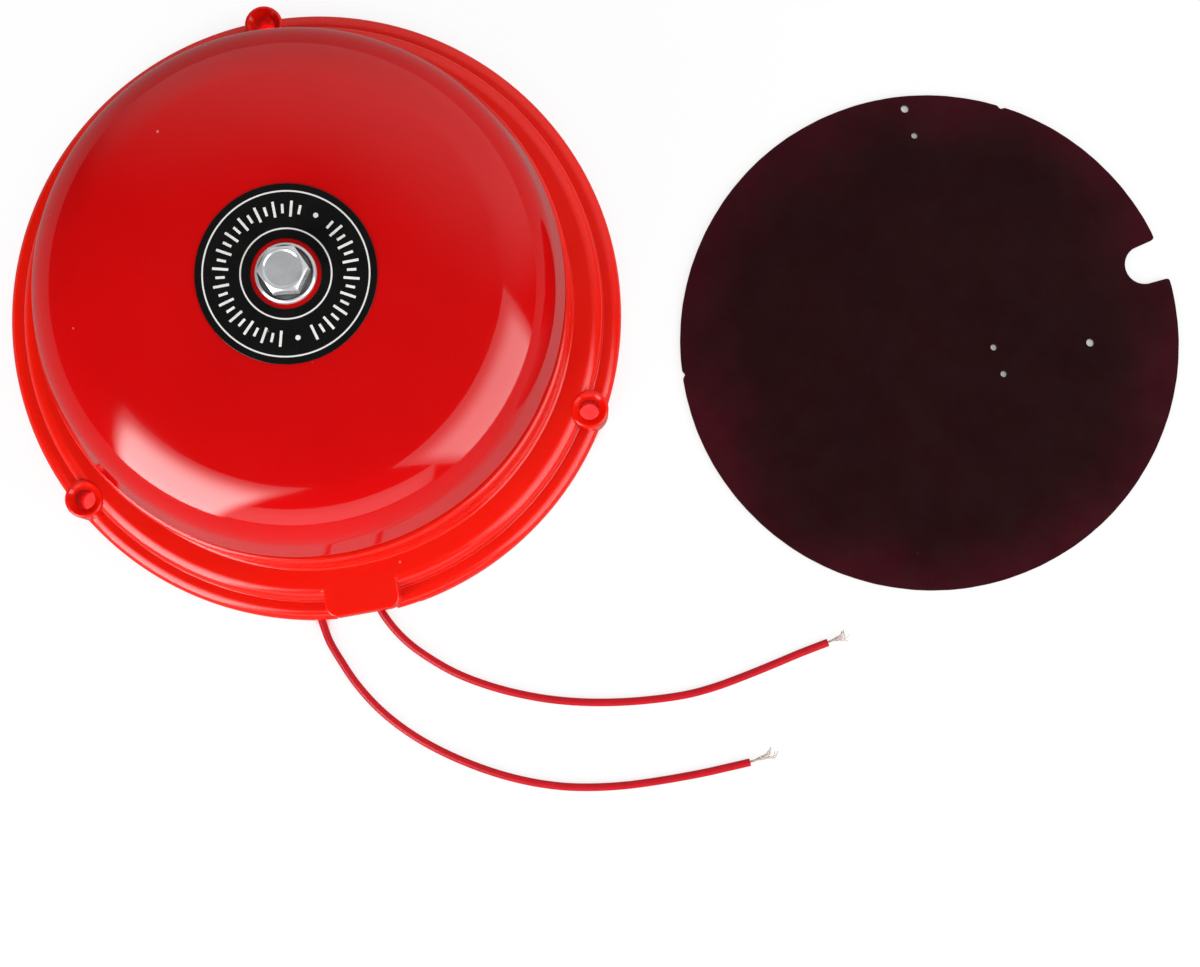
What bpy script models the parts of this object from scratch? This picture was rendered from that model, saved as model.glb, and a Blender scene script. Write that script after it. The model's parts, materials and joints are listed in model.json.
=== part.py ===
"""An inside-strike mains alarm bell, lying on its back, with its back plate taken off beside it.

Metres, +Z up. The bell's axis is Z and its wall face is the plane z = 0. The magnet pulls the
armature towards -X, and the hammer, above the leaf spring, strikes the gong's wall towards +X.
"""

import math

import bmesh
import bpy
from mathutils import Matrix, Vector

# Clearances
GAP = 0.0003
LABEL_GAP = 0.00005
SMOOTH_ANGLE = math.radians(35)
ROUND_STEPS = 56
SMALL_STEPS = 16

# Housing
DRUM_RADIUS = 0.0508
DRUM_HEIGHT = 0.018
DRUM_EDGE_ROUND = 0.0010
DRUM_FOOT_FILLET = 0.0008
DECK_HEIGHT = 0.010
DECK_WIDTH = 0.0036
SHOULDER_ROUND = 0.0027
FLANGE_WIDTH = 0.0037
FLANGE_THICKNESS = 0.0040
FLANGE_ROUND = 0.0022
BACK_RIM_WIDTH = 0.0057
HOUSING_WALL = 0.0020
DECK_RADIUS = DRUM_RADIUS + DECK_WIDTH
LEDGE_RADIUS = DECK_RADIUS + SHOULDER_ROUND
FLANGE_RADIUS = LEDGE_RADIUS + FLANGE_WIDTH
RECESS_RADIUS = FLANGE_RADIUS - BACK_RIM_WIDTH
CHAMBER_RADIUS = DRUM_RADIUS - HOUSING_WALL
DRUM_TOP = DECK_HEIGHT + DRUM_HEIGHT
CEILING = DRUM_TOP - HOUSING_WALL

# Screw ears on the flange
EAR_ANGLES = (104.0, 224.0, 344.0)
EAR_INSET = 0.0029
EAR_RADIUS = 0.00375
EAR_RISE = 0.0002
EAR_LIFT = 0.0003
EAR_HOLE_RADIUS = 0.0020
EAR_DISH_RADIUS = 0.0031
EAR_DISH_DEPTH = 0.0007

# Wire exit, opposite the first ear
EXIT_ANGLE = EAR_ANGLES[0] - 180.0
BLOCK_WIDTH = 0.0146
BLOCK_SETBACK = 0.0003
BLOCK_DROP = 0.0001
BLOCK_CORNER = 0.0022
EXIT_HEIGHT = 0.0052
EXIT_WIDTH = 0.0120
WIRE_GROOVE_WIDTH = 0.0215
WIRE_GROOVE_HEIGHT = 0.0030

# Gong
GONG_RADIUS = 0.0500
GONG_DEPTH = 0.02015
GONG_WALL = 0.0013
GONG_RIM_GAP = 0.0046
GONG_FLAT_RADIUS = 0.0175
GONG_CROWN_RADIUS = 0.110
GONG_SHOULDER_RADIUS = 0.014
GONG_WALL_TILT = math.radians(12.0)
GONG_RIM = DRUM_TOP + GONG_RIM_GAP
GONG_TOP = GONG_RIM + GONG_DEPTH

# Label on the gong
LABEL_RADIUS = 0.0164
LABEL_HOLE_RADIUS = 0.0064
LABEL_THICKNESS = 0.0002

# Bolt, pillar and their fastenings
BOLT_RADIUS = 0.0024
BOLT_FLANGE_RADIUS = 0.0056
BOLT_FLANGE_THICKNESS = 0.0011
BOLT_ACROSS_FLATS = 0.0080
BOLT_HEAD_HEIGHT = 0.0055
BOLT_CHAMFER = 0.0007
BOLT_LENGTH = 0.0160
PILLAR_RADIUS = 0.0058
PILLAR_FOOT_RADIUS = 0.0090
PILLAR_FOOT_THICKNESS = 0.0020
STUD_RADIUS = 0.0030
WASHER_RADIUS = 0.0072
WASHER_THICKNESS = 0.0010
NUT_ACROSS_FLATS = 0.0100
NUT_HEIGHT = 0.0048
STUD_POINT = 0.0006
BORE_RADIUS = BOLT_RADIUS + GAP
STUD_HOLE_RADIUS = STUD_RADIUS + GAP

# Magnet, coil and chassis, along X at this distance from the bell's axis
MAGNET_Y = 0.0180
CHASSIS_WIDTH = 0.0150
CHASSIS_THICKNESS = 0.0015
CHASSIS_LIP = 0.0052
CORE_RADIUS = 0.0035
POLE_RADIUS = 0.0055
POLE_THICKNESS = 0.0020
BOBBIN_LENGTH = 0.0400
BOBBIN_FLANGE_RADIUS = 0.0072
BOBBIN_FLANGE_THICKNESS = 0.0012
BOBBIN_WALL = 0.0010
TAPE_THICKNESS = 0.0003
TAPE_INSET = 0.0001
POLE_GAP = 0.0012
SCREW_RADIUS = 0.0014
SCREW_HEAD_RADIUS = 0.0026
SCREW_HEAD_HEIGHT = 0.0016
CHASSIS_SCREW_INSET = 0.0100

# Armature, its leaf spring and the hammer
ARMATURE_WIDTH = 0.0140
ARMATURE_HEIGHT = 0.0096
ARMATURE_THICKNESS = 0.0022
HINGE_GAP = 0.0008
SPRING_THICKNESS = 0.0003
SPRING_WIDTH = 0.0124
CLAMP_THICKNESS = 0.0012
CLAMP_SCREW_SPREAD = 0.0043
CLAMP_SCREW_RADIUS = 0.0011
CLAMP_SCREW_HEAD_RADIUS = 0.0019
RIVET_RADIUS = 0.0010
RIVET_HEAD_RADIUS = 0.0017
RIVET_HEAD_HEIGHT = 0.0009
ROD_RADIUS = 0.0012
ROD_CLEARANCE = 0.0006
ROD_BLOCK_WALL = 0.0014
ROD_BLOCK_HEIGHT = 0.0070
HEAD_RADIUS = 0.0040
HEAD_LENGTH = 0.0080
HEAD_DOME = 0.0012
HEAD_ABOVE_DRUM = 0.0105
STRIKE_GAP = 0.0033
ROD_TO_TIP = 0.0056
ROD_OFFSET = 0.0030
SLOT_LENGTH = 0.0090
SLOT_WIDTH = 0.0060

# Back plate, lying beside the bell. Polar places are about its own centre.
PLATE_PLACE = (0.1226, 0.0033)
PLATE_LAP = 0.0012
PLATE_RADIUS = CHAMBER_RADIUS + PLATE_LAP
PLATE_THICKNESS = 0.0012
PLATE_HOLE_RADIUS = 0.0008
PLATE_EDGE_HOLE_INSET = 0.0026
PLATE_SPARE_HOLE_INSET = 0.0082
PLATE_SCREW_HOLES = ((PLATE_RADIUS - PLATE_EDGE_HOLE_INSET, 99.3), (0.0322, 3.3))
PLATE_OTHER_HOLES = ((PLATE_RADIUS - PLATE_SPARE_HOLE_INSET, 97.4), (0.0129, -1.8), (0.0162, -20.3))
NOTCH_ANGLE = 23.5
NOTCH_RADIUS = 0.0039
NOTCH_INSET = 0.0040
POST_RADIUS = 0.0032
POST_HOLE_DEPTH = 0.0080

# Lead wires. Routes are chosen points, from the exit to the stripped end.
LEAD_RADIUS = 0.0008
LEAD_REST = LEAD_RADIUS + 0.00005
LEAD_SPACING = 0.0040
SLEEVE_RADIUS = 0.0014
SLEEVE_LENGTH = 0.0140
SLEEVE_INSET = 0.0040
STRAND_RADIUS = 0.00055
STRAND_TIP = 0.35
ROUTE_A = (
    (0.0049, -0.0589, 0.00110),
    (0.0058, -0.0612, 0.00092),
    (0.0074, -0.0647, LEAD_REST),
    (0.0099, -0.0683, LEAD_REST),
    (0.0132, -0.0725, LEAD_REST),
    (0.0175, -0.0767, LEAD_REST),
    (0.0221, -0.0801, LEAD_REST),
    (0.0274, -0.0831, LEAD_REST),
    (0.0338, -0.0858, LEAD_REST),
    (0.0409, -0.0880, LEAD_REST),
    (0.0479, -0.0894, LEAD_REST),
    (0.0548, -0.0900, LEAD_REST),
    (0.0610, -0.0898, LEAD_REST),
    (0.0676, -0.0890, LEAD_REST),
    (0.0745, -0.0876, LEAD_REST),
    (0.0822, -0.0857, LEAD_REST),
    (0.0877, -0.0841, LEAD_REST),
    (0.0920, -0.0828, LEAD_REST),
)
ROUTE_B = (
    (0.0160, -0.0557, 0.00110),
    (0.0174, -0.0583, 0.00092),
    (0.0203, -0.0616, LEAD_REST),
    (0.0237, -0.0644, LEAD_REST),
    (0.0279, -0.0669, LEAD_REST),
    (0.0328, -0.0692, LEAD_REST),
    (0.0385, -0.0710, LEAD_REST),
    (0.0447, -0.0723, LEAD_REST),
    (0.0517, -0.0731, LEAD_REST),
    (0.0587, -0.0732, LEAD_REST),
    (0.0656, -0.0727, LEAD_REST),
    (0.0724, -0.0717, LEAD_REST),
    (0.0788, -0.0703, LEAD_REST),
    (0.0843, -0.0684, LEAD_REST),
    (0.0897, -0.0660, LEAD_REST),
    (0.0949, -0.0635, LEAD_REST),
    (0.1005, -0.0607, LEAD_REST),
    (0.1059, -0.0582, LEAD_REST),
)
STRANDS_A = ((0.0923, -0.0827, LEAD_REST), (0.0949, -0.0815, 0.0011), (0.0972, -0.0803, 0.0016))
STRANDS_B = ((0.1062, -0.0581, LEAD_REST), (0.1082, -0.0571, 0.0011), (0.1098, -0.0562, 0.0018))

# Inside the housing: inset from the drum's wall, place across the exit, and height above the deck's underside
INNER_ROUTE_A = (
    (0.0471, 0.0070, 0.0065),
    (0.0323, 0.0041, 0.0055),
    (0.0165, 0.0012, 0.0045),
    (0.0063, -0.0009, 0.0024),
    (0.0010, -0.0035, -0.0018),
)
INNER_ROUTE_B = (
    (0.0481, 0.0112, 0.0095),
    (0.0313, 0.0080, 0.0070),
    (0.0157, 0.0045, 0.0048),
    (0.0055, 0.0023, 0.0024),
    (0.0009, 0.0016, -0.0014),
)
ENTRY_INSET = 0.0027
ENTRY_ROOM = 0.0004
ENTRY_A = -0.0069
ENTRY_B = 0.0017

# Finishes: colour, roughness and metallic value
ORANGE_RED_PLASTIC = ((0.81, 0.010, 0.004), 0.28, 0.0)
DEEP_RED_PAINT = ((0.56, 0.005, 0.006), 0.15, 0.0)
BLACK_LABEL = ((0.008, 0.008, 0.009), 0.45, 0.0)
PLATED_STEEL = ((0.72, 0.73, 0.75), 0.14, 1.0)
ZINC_STEEL = ((0.55, 0.55, 0.53), 0.35, 1.0)
CHASSIS_STEEL = ((0.48, 0.47, 0.43), 0.42, 1.0)
SPRING_STEEL = ((0.42, 0.44, 0.47), 0.25, 1.0)
SOFT_IRON = ((0.38, 0.37, 0.35), 0.40, 1.0)
BRASS = ((0.72, 0.48, 0.16), 0.30, 1.0)
COPPER = ((0.42, 0.12, 0.03), 0.35, 1.0)
TINNED_COPPER = ((0.75, 0.66, 0.58), 0.30, 1.0)
FIBRE = ((0.30, 0.10, 0.05), 0.80, 0.0)
NYLON = ((0.75, 0.70, 0.58), 0.50, 0.0)
COIL_TAPE = ((0.62, 0.42, 0.05), 0.50, 0.0)
BLACK_SLEEVE = ((0.02, 0.02, 0.02), 0.60, 0.0)
BLACK_BOARD = ((0.020, 0.006, 0.007), 0.35, 0.0)
RED_INSULATION = ((0.62, 0.004, 0.010), 0.40, 0.0)

OBJECT_NAME = "alarm_bell"


def clear_scene():
    for obj in list(bpy.data.objects):
        bpy.data.objects.remove(obj)
    for collection in list(bpy.data.collections):
        bpy.data.collections.remove(collection)


def new_collection(name):
    collection = bpy.data.collections.new(name)
    bpy.context.scene.collection.children.link(collection)
    return collection


def new_material(name, finish):
    color, roughness, metallic = finish
    material = bpy.data.materials.new(name)
    material.use_nodes = True
    shader = material.node_tree.nodes["Principled BSDF"]
    shader.inputs["Base Color"].default_value = (*color, 1.0)
    shader.inputs["Roughness"].default_value = roughness
    shader.inputs["Metallic"].default_value = metallic
    material.diffuse_color = (*color, 1.0)
    return material


def polar(radius, degrees, z=0.0):
    angle = math.radians(degrees)
    return Vector((radius * math.cos(angle), radius * math.sin(angle), z))


def arc(centre, radius, start, end, steps):
    """Points on an arc, with angles in radians from the first axis towards the second."""
    angles = [start + (end - start) * i / steps for i in range(steps + 1)]
    return [(centre[0] + radius * math.cos(a), centre[1] + radius * math.sin(a)) for a in angles]


class Workshop:
    """Holds the collections and the finishing steps that every sub-part shares."""

    def __init__(self):
        self.parts = new_collection(OBJECT_NAME)
        self.cutters = new_collection("cutters")

    def link(self, obj, finish):
        self.parts.objects.link(obj)
        obj.data.materials.append(new_material(f"{obj.name}_finish", finish))
        if obj.type == "MESH":
            obj.data.shade_smooth()
            obj.data.set_sharp_from_angle(angle=SMOOTH_ANGLE)
        return obj

    def pivot(self, name, place, pieces):
        """An empty on a joint's axis, which carries the pieces that move about it."""
        empty = bpy.data.objects.new(name, None)
        empty.location = place
        self.parts.objects.link(empty)
        for piece in pieces:
            piece.parent = empty
            piece.matrix_parent_inverse = Matrix.Translation(-empty.location)

    def cutter(self, obj):
        self.cutters.objects.link(obj)
        obj.hide_render = True
        obj.display_type = "WIRE"
        return obj

    def cut(self, target, tool, operation="DIFFERENCE"):
        if tool.name not in self.cutters.objects:
            self.cutter(tool)
        modifier = target.modifiers.new(tool.name, "BOOLEAN")
        modifier.operation = operation
        modifier.solver = "EXACT"
        modifier.object = tool

    def join(self, target, tool):
        self.cut(target, tool, "UNION")

    def apply_group(self, target, tools, operation):
        """One Boolean with a whole collection of tools."""
        group = bpy.data.collections.new(f"{target.name}_{operation.lower()}")
        self.cutters.children.link(group)
        for tool in tools:
            group.objects.link(tool)
            tool.hide_render = True
            tool.display_type = "WIRE"
        modifier = target.modifiers.new(group.name, "BOOLEAN")
        modifier.operation = operation
        modifier.solver = "EXACT"
        modifier.operand_type = "COLLECTION"
        modifier.collection = group


def turned(name, profile, steps=SMALL_STEPS, closed=True):
    """A profile of (radius, height) points, turned about Z. It runs down its outer side."""
    mesh = bpy.data.meshes.new(name)
    points = [(r, 0.0, z) for r, z in profile]
    count = len(points)
    edges = [(i, i + 1) for i in range(count - 1)] + ([(count - 1, 0)] if closed else [])
    mesh.from_pydata(points, edges, [])
    obj = bpy.data.objects.new(name, mesh)
    screw = obj.modifiers.new("turn", "SCREW")
    screw.steps = screw.render_steps = steps
    screw.use_merge_vertices = True
    screw.merge_threshold = 1e-6
    screw.use_smooth_shade = True
    return obj


def ring(name, inner, outer, low, high, steps=SMALL_STEPS):
    return turned(name, [(inner, high), (outer, high), (outer, low), (inner, low)], steps)


def box(name, low, high):
    mesh = bpy.data.meshes.new(name)
    shape = bmesh.new()
    bmesh.ops.create_cube(shape, size=1.0)
    low, high = Vector(low), Vector(high)
    for vertex in shape.verts:
        vertex.co = Vector([(a + b) / 2 + c * (b - a) for a, b, c in zip(low, high, vertex.co)])
    shape.to_mesh(mesh)
    shape.free()
    return bpy.data.objects.new(name, mesh)


def rod(name, radius, start, end, steps=SMALL_STEPS):
    """A plain cylinder between two points."""
    start, end = Vector(start), Vector(end)
    mesh = bpy.data.meshes.new(name)
    shape = bmesh.new()
    bmesh.ops.create_cone(
        shape, cap_ends=True, segments=steps, radius1=radius, radius2=radius, depth=(end - start).length
    )
    shape.to_mesh(mesh)
    shape.free()
    obj = bpy.data.objects.new(name, mesh)
    obj.location = (start + end) / 2
    obj.rotation_euler = (end - start).to_track_quat("Z", "Y").to_euler()
    return obj


def hexagon(name, across_flats, low, high):
    return rod(name, across_flats / 2 / math.cos(math.pi / 6), (0, 0, low), (0, 0, high), steps=6)


def tube(name, points, radius, radii=None):
    """A round wire along points, with filled ends."""
    curve = bpy.data.curves.new(name, "CURVE")
    curve.dimensions = "3D"
    curve.bevel_depth = radius
    curve.bevel_resolution = 2
    curve.use_fill_caps = True
    spline = curve.splines.new("POLY")
    spline.points.add(len(points) - 1)
    for i, point in enumerate(points):
        spline.points[i].co = (*point, 1.0)
        spline.points[i].radius = radii[i] if radii else 1.0
    return bpy.data.objects.new(name, curve)


def smooth_route(route, spacing):
    """Points about one spacing apart on a smooth curve through the route's own points."""
    points = [Vector(p) for p in route]
    points = [2 * points[0] - points[1], *points, 2 * points[-1] - points[-2]]
    made = []
    for before, start, end, after in zip(points, points[1:], points[2:], points[3:]):
        steps = max(1, round((end - start).length / spacing))
        for i in range(steps):
            t = i / steps
            made.append(
                start
                + 0.5 * t * ((end - before) + t * ((2 * before - 5 * start + 4 * end - after)
                             + t * (3 * (start - end) + after - before)))
            )
    made.append(points[-2])
    return made


def facing_x(obj, place):
    """Turns a part that was made about Z to lie along +X at a place."""
    obj.rotation_euler = (0.0, math.pi / 2, 0.0)
    obj.location = place
    return obj


def pan_screw(name, shank, head, head_height, length):
    """A pan-head screw about Z: the head's flat underside is at z = 0 and the shank goes down."""
    crown = head_height / 3
    return turned(
        name,
        [
            (0.0, head_height),
            (head - crown, head_height),
            (head, head_height - crown),
            (head, 0.0),
            (shank, 0.0),
            (shank, -length),
            (0.0, -length),
        ],
        closed=False,
    )


def housing_profile():
    """The housing's section: down its outer side, then up the inside."""
    round_edge = arc(
        (DRUM_RADIUS - DRUM_EDGE_ROUND, DRUM_TOP - DRUM_EDGE_ROUND), DRUM_EDGE_ROUND, math.pi / 2, 0.0, 3
    )
    foot = arc(
        (DRUM_RADIUS + DRUM_FOOT_FILLET, DECK_HEIGHT + DRUM_FOOT_FILLET),
        DRUM_FOOT_FILLET, math.pi, 1.5 * math.pi, 2,
    )
    shoulder = arc((DECK_RADIUS, DECK_HEIGHT - SHOULDER_ROUND), SHOULDER_ROUND, math.pi / 2, 0.0, 4)
    flange = arc(
        (FLANGE_RADIUS - FLANGE_ROUND, FLANGE_THICKNESS - FLANGE_ROUND), FLANGE_ROUND, math.pi / 2, 0.0, 4
    )
    inside = [
        (FLANGE_RADIUS, 0.0),
        (RECESS_RADIUS, 0.0),
        (RECESS_RADIUS, DECK_HEIGHT - HOUSING_WALL),
        (CHAMBER_RADIUS, DECK_HEIGHT - HOUSING_WALL),
        (CHAMBER_RADIUS, CEILING),
        (STUD_HOLE_RADIUS, CEILING),
        (STUD_HOLE_RADIUS, DRUM_TOP),
    ]
    return round_edge + foot + shoulder + [(LEDGE_RADIUS, FLANGE_THICKNESS)] + flange + inside


def exit_block():
    """The flat-topped block over the wires, from the deck out to the flange's edge."""
    face = FLANGE_RADIUS - BLOCK_SETBACK
    half = BLOCK_WIDTH / 2
    corner = BLOCK_CORNER
    root = RECESS_RADIUS + HOUSING_WALL / 4
    near = [(root, -half), (face - corner, -half)]
    lower = arc((face - corner, corner - half), corner, -math.pi / 2, 0.0, 4)[1:]
    upper = arc((face - corner, half - corner), corner, 0.0, math.pi / 2, 4)
    outline = near + lower + upper + [(root, half)]
    mesh = bpy.data.meshes.new("exit_block")
    shape = bmesh.new()
    low = FLANGE_THICKNESS - FLANGE_ROUND
    floor = shape.faces.new([shape.verts.new((x, y, low)) for x, y in outline])
    walls = bmesh.ops.extrude_face_region(shape, geom=[floor])
    raised = [v for v in walls["geom"] if isinstance(v, bmesh.types.BMVert)]
    bmesh.ops.translate(shape, verts=raised, vec=(0.0, 0.0, DECK_HEIGHT - BLOCK_DROP - low))
    bmesh.ops.recalc_face_normals(shape, faces=shape.faces)
    shape.to_mesh(mesh)
    shape.free()
    return at_exit(bpy.data.objects.new("exit_block", mesh))


def exit_place(radius, across, z):
    """A point seen from the wire exit: out from the axis, across the exit and up."""
    along = polar(1.0, EXIT_ANGLE)
    return along * radius + Vector((-along.y, along.x, 0)) * across + Vector((0, 0, z))


def at_exit(obj):
    obj.rotation_euler.z = math.radians(EXIT_ANGLE)
    return obj


def fitted_angle(degrees):
    """Where a place on the back plate comes when the plate is turned over and its notch is at the exit."""
    return EXIT_ANGLE + NOTCH_ANGLE - degrees


def make_base(shop, places):
    base = shop.link(turned("base", housing_profile(), ROUND_STEPS), ORANGE_RED_PLASTIC)
    added = [exit_block()]
    taken = []
    deep = Vector((0, 0, HOUSING_WALL))
    for number, degrees in enumerate(EAR_ANGLES, 1):
        centre = polar(FLANGE_RADIUS - EAR_INSET, degrees)
        lift = Vector((0, 0, EAR_LIFT))
        top = centre + Vector((0, 0, DECK_HEIGHT + EAR_RISE))
        dish = top - Vector((0, 0, EAR_DISH_DEPTH))
        added.append(rod(f"ear_{number}", EAR_RADIUS, centre + lift, top))
        taken.append(rod(f"ear_hole_{number}", EAR_HOLE_RADIUS, centre - deep, top + deep))
        taken.append(rod(f"ear_dish_{number}", EAR_DISH_RADIUS, dish, dish + deep))
    for number, (radius, degrees) in enumerate(PLATE_SCREW_HOLES, 1):
        foot = polar(radius, fitted_angle(degrees), DECK_HEIGHT - HOUSING_WALL + GAP)
        roof = Vector((foot.x, foot.y, CEILING + HOUSING_WALL / 2))
        pilot = foot + Vector((0, 0, POST_HOLE_DEPTH))
        added.append(rod(f"plate_post_{number}", POST_RADIUS, foot, roof))
        taken.append(rod(f"plate_post_hole_{number}", PLATE_HOLE_RADIUS, foot - deep, pilot))
    inner = RECESS_RADIUS - 2 * HOUSING_WALL
    outer = FLANGE_RADIUS + HOUSING_WALL
    for name, width, height in (
        ("exit_channel", EXIT_WIDTH, EXIT_HEIGHT),
        ("wire_groove", WIRE_GROOVE_WIDTH, WIRE_GROOVE_HEIGHT),
    ):
        taken.append(at_exit(box(name, (inner, -width / 2, -HOUSING_WALL), (outer, width / 2, height))))
    low, high = CEILING - HOUSING_WALL / 2, DRUM_TOP + HOUSING_WALL / 2
    slot_near = (places["rod_x"] - SLOT_LENGTH / 2, MAGNET_Y - SLOT_WIDTH / 2, low)
    slot_far = (places["rod_x"] + SLOT_LENGTH / 2, MAGNET_Y + SLOT_WIDTH / 2, high)
    taken.append(box("hammer_slot", slot_near, slot_far))
    for number, x in enumerate(places["chassis_screws"], 1):
        hole = f"chassis_screw_hole_{number}"
        taken.append(rod(hole, SCREW_RADIUS + GAP, (x, MAGNET_Y, low), (x, MAGNET_Y, high)))
    shop.apply_group(base, added, "UNION")
    shop.apply_group(base, taken, "DIFFERENCE")


def gong_profile(inset):
    """The gong's surface at a depth inside its outer skin, from the bolt hole out to the rim."""
    lean_r, lean_z = math.cos(GONG_WALL_TILT), math.sin(GONG_WALL_TILT)
    crown_z = GONG_TOP - GONG_CROWN_RADIUS
    reach = GONG_CROWN_RADIUS - GONG_SHOULDER_RADIUS
    wall = lean_r * GONG_RADIUS + lean_z * GONG_RIM
    crown_end = math.asin(
        (wall - GONG_SHOULDER_RADIUS - lean_r * GONG_FLAT_RADIUS - lean_z * crown_z) / reach
    ) - GONG_WALL_TILT
    shoulder = (
        GONG_FLAT_RADIUS + reach * math.sin(crown_end),
        crown_z + reach * math.cos(crown_end),
    )
    crown = arc(
        (GONG_FLAT_RADIUS, crown_z), GONG_CROWN_RADIUS - inset, math.pi / 2, math.pi / 2 - crown_end, 3
    )
    turn = arc(shoulder, GONG_SHOULDER_RADIUS - inset, math.pi / 2 - crown_end, GONG_WALL_TILT, 8)
    rim = (GONG_RADIUS - inset / lean_r, GONG_RIM)
    return [(BORE_RADIUS, GONG_TOP - inset)] + crown + turn[1:] + [rim]


def gong_inner_radius(z):
    """The inner radius of the gong's straight wall at a height."""
    return GONG_RADIUS - GONG_WALL / math.cos(GONG_WALL_TILT) - (z - GONG_RIM) * math.tan(GONG_WALL_TILT)


def make_gong(shop):
    profile = gong_profile(0.0) + gong_profile(GONG_WALL)[::-1]
    shop.link(turned("gong", profile, ROUND_STEPS), DEEP_RED_PAINT)
    low = GONG_TOP + LABEL_GAP
    label = ring("gong_label", LABEL_HOLE_RADIUS, LABEL_RADIUS, low, low + LABEL_THICKNESS, ROUND_STEPS)
    shop.link(label, BLACK_LABEL)


def make_bolt(shop):
    seat = GONG_TOP + GAP
    flange_top = seat + BOLT_FLANGE_THICKNESS
    half = BOLT_ACROSS_FLATS / 2
    body = turned(
        "gong_bolt",
        [
            (0.0, flange_top + BOLT_FLANGE_THICKNESS),
            (half * 0.8, flange_top + BOLT_FLANGE_THICKNESS),
            (half, flange_top + BOLT_FLANGE_THICKNESS / 2),
            (BOLT_FLANGE_RADIUS, seat + BOLT_FLANGE_THICKNESS / 2),
            (BOLT_FLANGE_RADIUS, seat),
            (BOLT_RADIUS, seat),
            (BOLT_RADIUS, seat - BOLT_LENGTH),
            (0.0, seat - BOLT_LENGTH),
        ],
        closed=False,
    )
    shop.link(body, PLATED_STEEL)
    top = seat + BOLT_HEAD_HEIGHT
    head = hexagon("bolt_hexagon", BOLT_ACROSS_FLATS, seat + BOLT_FLANGE_THICKNESS / 3, top)
    corner = half / math.cos(math.pi / 6)
    chamfer = turned(
        "bolt_chamfer",
        [
            (0.0, top + BOLT_CHAMFER),
            (half - BOLT_CHAMFER, top + BOLT_CHAMFER),
            (half - BOLT_CHAMFER, top),
            (corner + BOLT_CHAMFER, top - (corner + 2 * BOLT_CHAMFER - half) * 0.6),
            (corner + BOLT_CHAMFER, seat),
            (0.0, seat),
        ],
        closed=False,
    )
    shop.cut(head, chamfer, "INTERSECT")
    shop.join(body, head)


def make_pillar(shop):
    washer_top = GONG_TOP - GONG_WALL - GAP
    washer_low = washer_top - WASHER_THICKNESS
    shop.link(ring("gong_washer", BORE_RADIUS, WASHER_RADIUS, washer_low, washer_top), FIBRE)
    top = washer_low - GAP
    foot = DRUM_TOP + GAP
    nut_top = CEILING - 2 * GAP - WASHER_THICKNESS
    nut_low = nut_top - NUT_HEIGHT
    bore_end = GONG_TOP - BOLT_LENGTH - 2 * GAP
    pillar = turned(
        "gong_pillar",
        [
            (BORE_RADIUS, top),
            (PILLAR_RADIUS, top),
            (PILLAR_RADIUS, foot + PILLAR_FOOT_THICKNESS),
            (PILLAR_FOOT_RADIUS, foot + PILLAR_FOOT_THICKNESS),
            (PILLAR_FOOT_RADIUS, foot),
            (STUD_RADIUS, foot),
            (STUD_RADIUS, nut_low - STUD_POINT),
            (0.0, nut_low - STUD_POINT),
            (0.0, bore_end),
            (BORE_RADIUS, bore_end),
        ],
    )
    shop.link(pillar, ZINC_STEEL)
    washer = ring(
        "pillar_washer", STUD_HOLE_RADIUS, WASHER_RADIUS, CEILING - GAP - WASHER_THICKNESS, CEILING - GAP
    )
    shop.link(washer, ZINC_STEEL)
    nut = shop.link(hexagon("pillar_nut", NUT_ACROSS_FLATS, nut_low, nut_top), ZINC_STEEL)
    shop.cut(
        nut,
        rod("nut_bore", STUD_HOLE_RADIUS, (0, 0, nut_low - HOUSING_WALL), (0, 0, nut_top + HOUSING_WALL)),
    )


def mechanism_places():
    """Where the hammer, hinge and magnet come, worked inwards from the gong's wall."""
    head_z = DRUM_TOP + HEAD_ABOVE_DRUM
    wall_x = math.sqrt(gong_inner_radius(head_z) ** 2 - MAGNET_Y ** 2)
    tip_x = wall_x - STRIKE_GAP
    rod_top_x = tip_x - ROD_TO_TIP
    rod_x = rod_top_x - ROD_OFFSET
    clamp_high = rod_x - ROD_RADIUS - ROD_CLEARANCE
    clamp_low = clamp_high - CLAMP_THICKNESS
    spring_high = clamp_low - GAP
    spring_low = spring_high - SPRING_THICKNESS
    face = spring_low - GAP
    chassis_low = CEILING - GAP - CHASSIS_THICKNESS
    lip_end = CEILING - GAP - CHASSIS_LIP
    pole_x = face - ARMATURE_THICKNESS - POLE_GAP
    coil_high = pole_x - POLE_THICKNESS - GAP
    coil_low = coil_high - BOBBIN_LENGTH
    leg_high = coil_low - GAP
    return {
        "head_z": head_z,
        "tip_x": tip_x,
        "rod_top_x": rod_top_x,
        "rod_x": rod_x,
        "block": (spring_high + GAP, rod_x + ROD_RADIUS + ROD_BLOCK_WALL),
        "clamp": (clamp_low, clamp_high),
        "spring": (spring_low, spring_high),
        "face": face,
        "hinge_z": lip_end - HINGE_GAP / 2,
        "lip_end": lip_end,
        "armature": (lip_end - HINGE_GAP - ARMATURE_HEIGHT, lip_end - HINGE_GAP),
        "chassis_low": chassis_low,
        "axis_z": chassis_low - GAP - BOBBIN_FLANGE_RADIUS,
        "pole_x": pole_x,
        "coil": (coil_low, coil_high),
        "leg": (leg_high - CHASSIS_THICKNESS, leg_high),
        "chassis_screws": (
            leg_high + CHASSIS_SCREW_INSET,
            face - CHASSIS_SCREW_INSET,
        ),
    }


def clamp_screw_places():
    return [(1, MAGNET_Y - CLAMP_SCREW_SPREAD), (2, MAGNET_Y + CLAMP_SCREW_SPREAD)]


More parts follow.
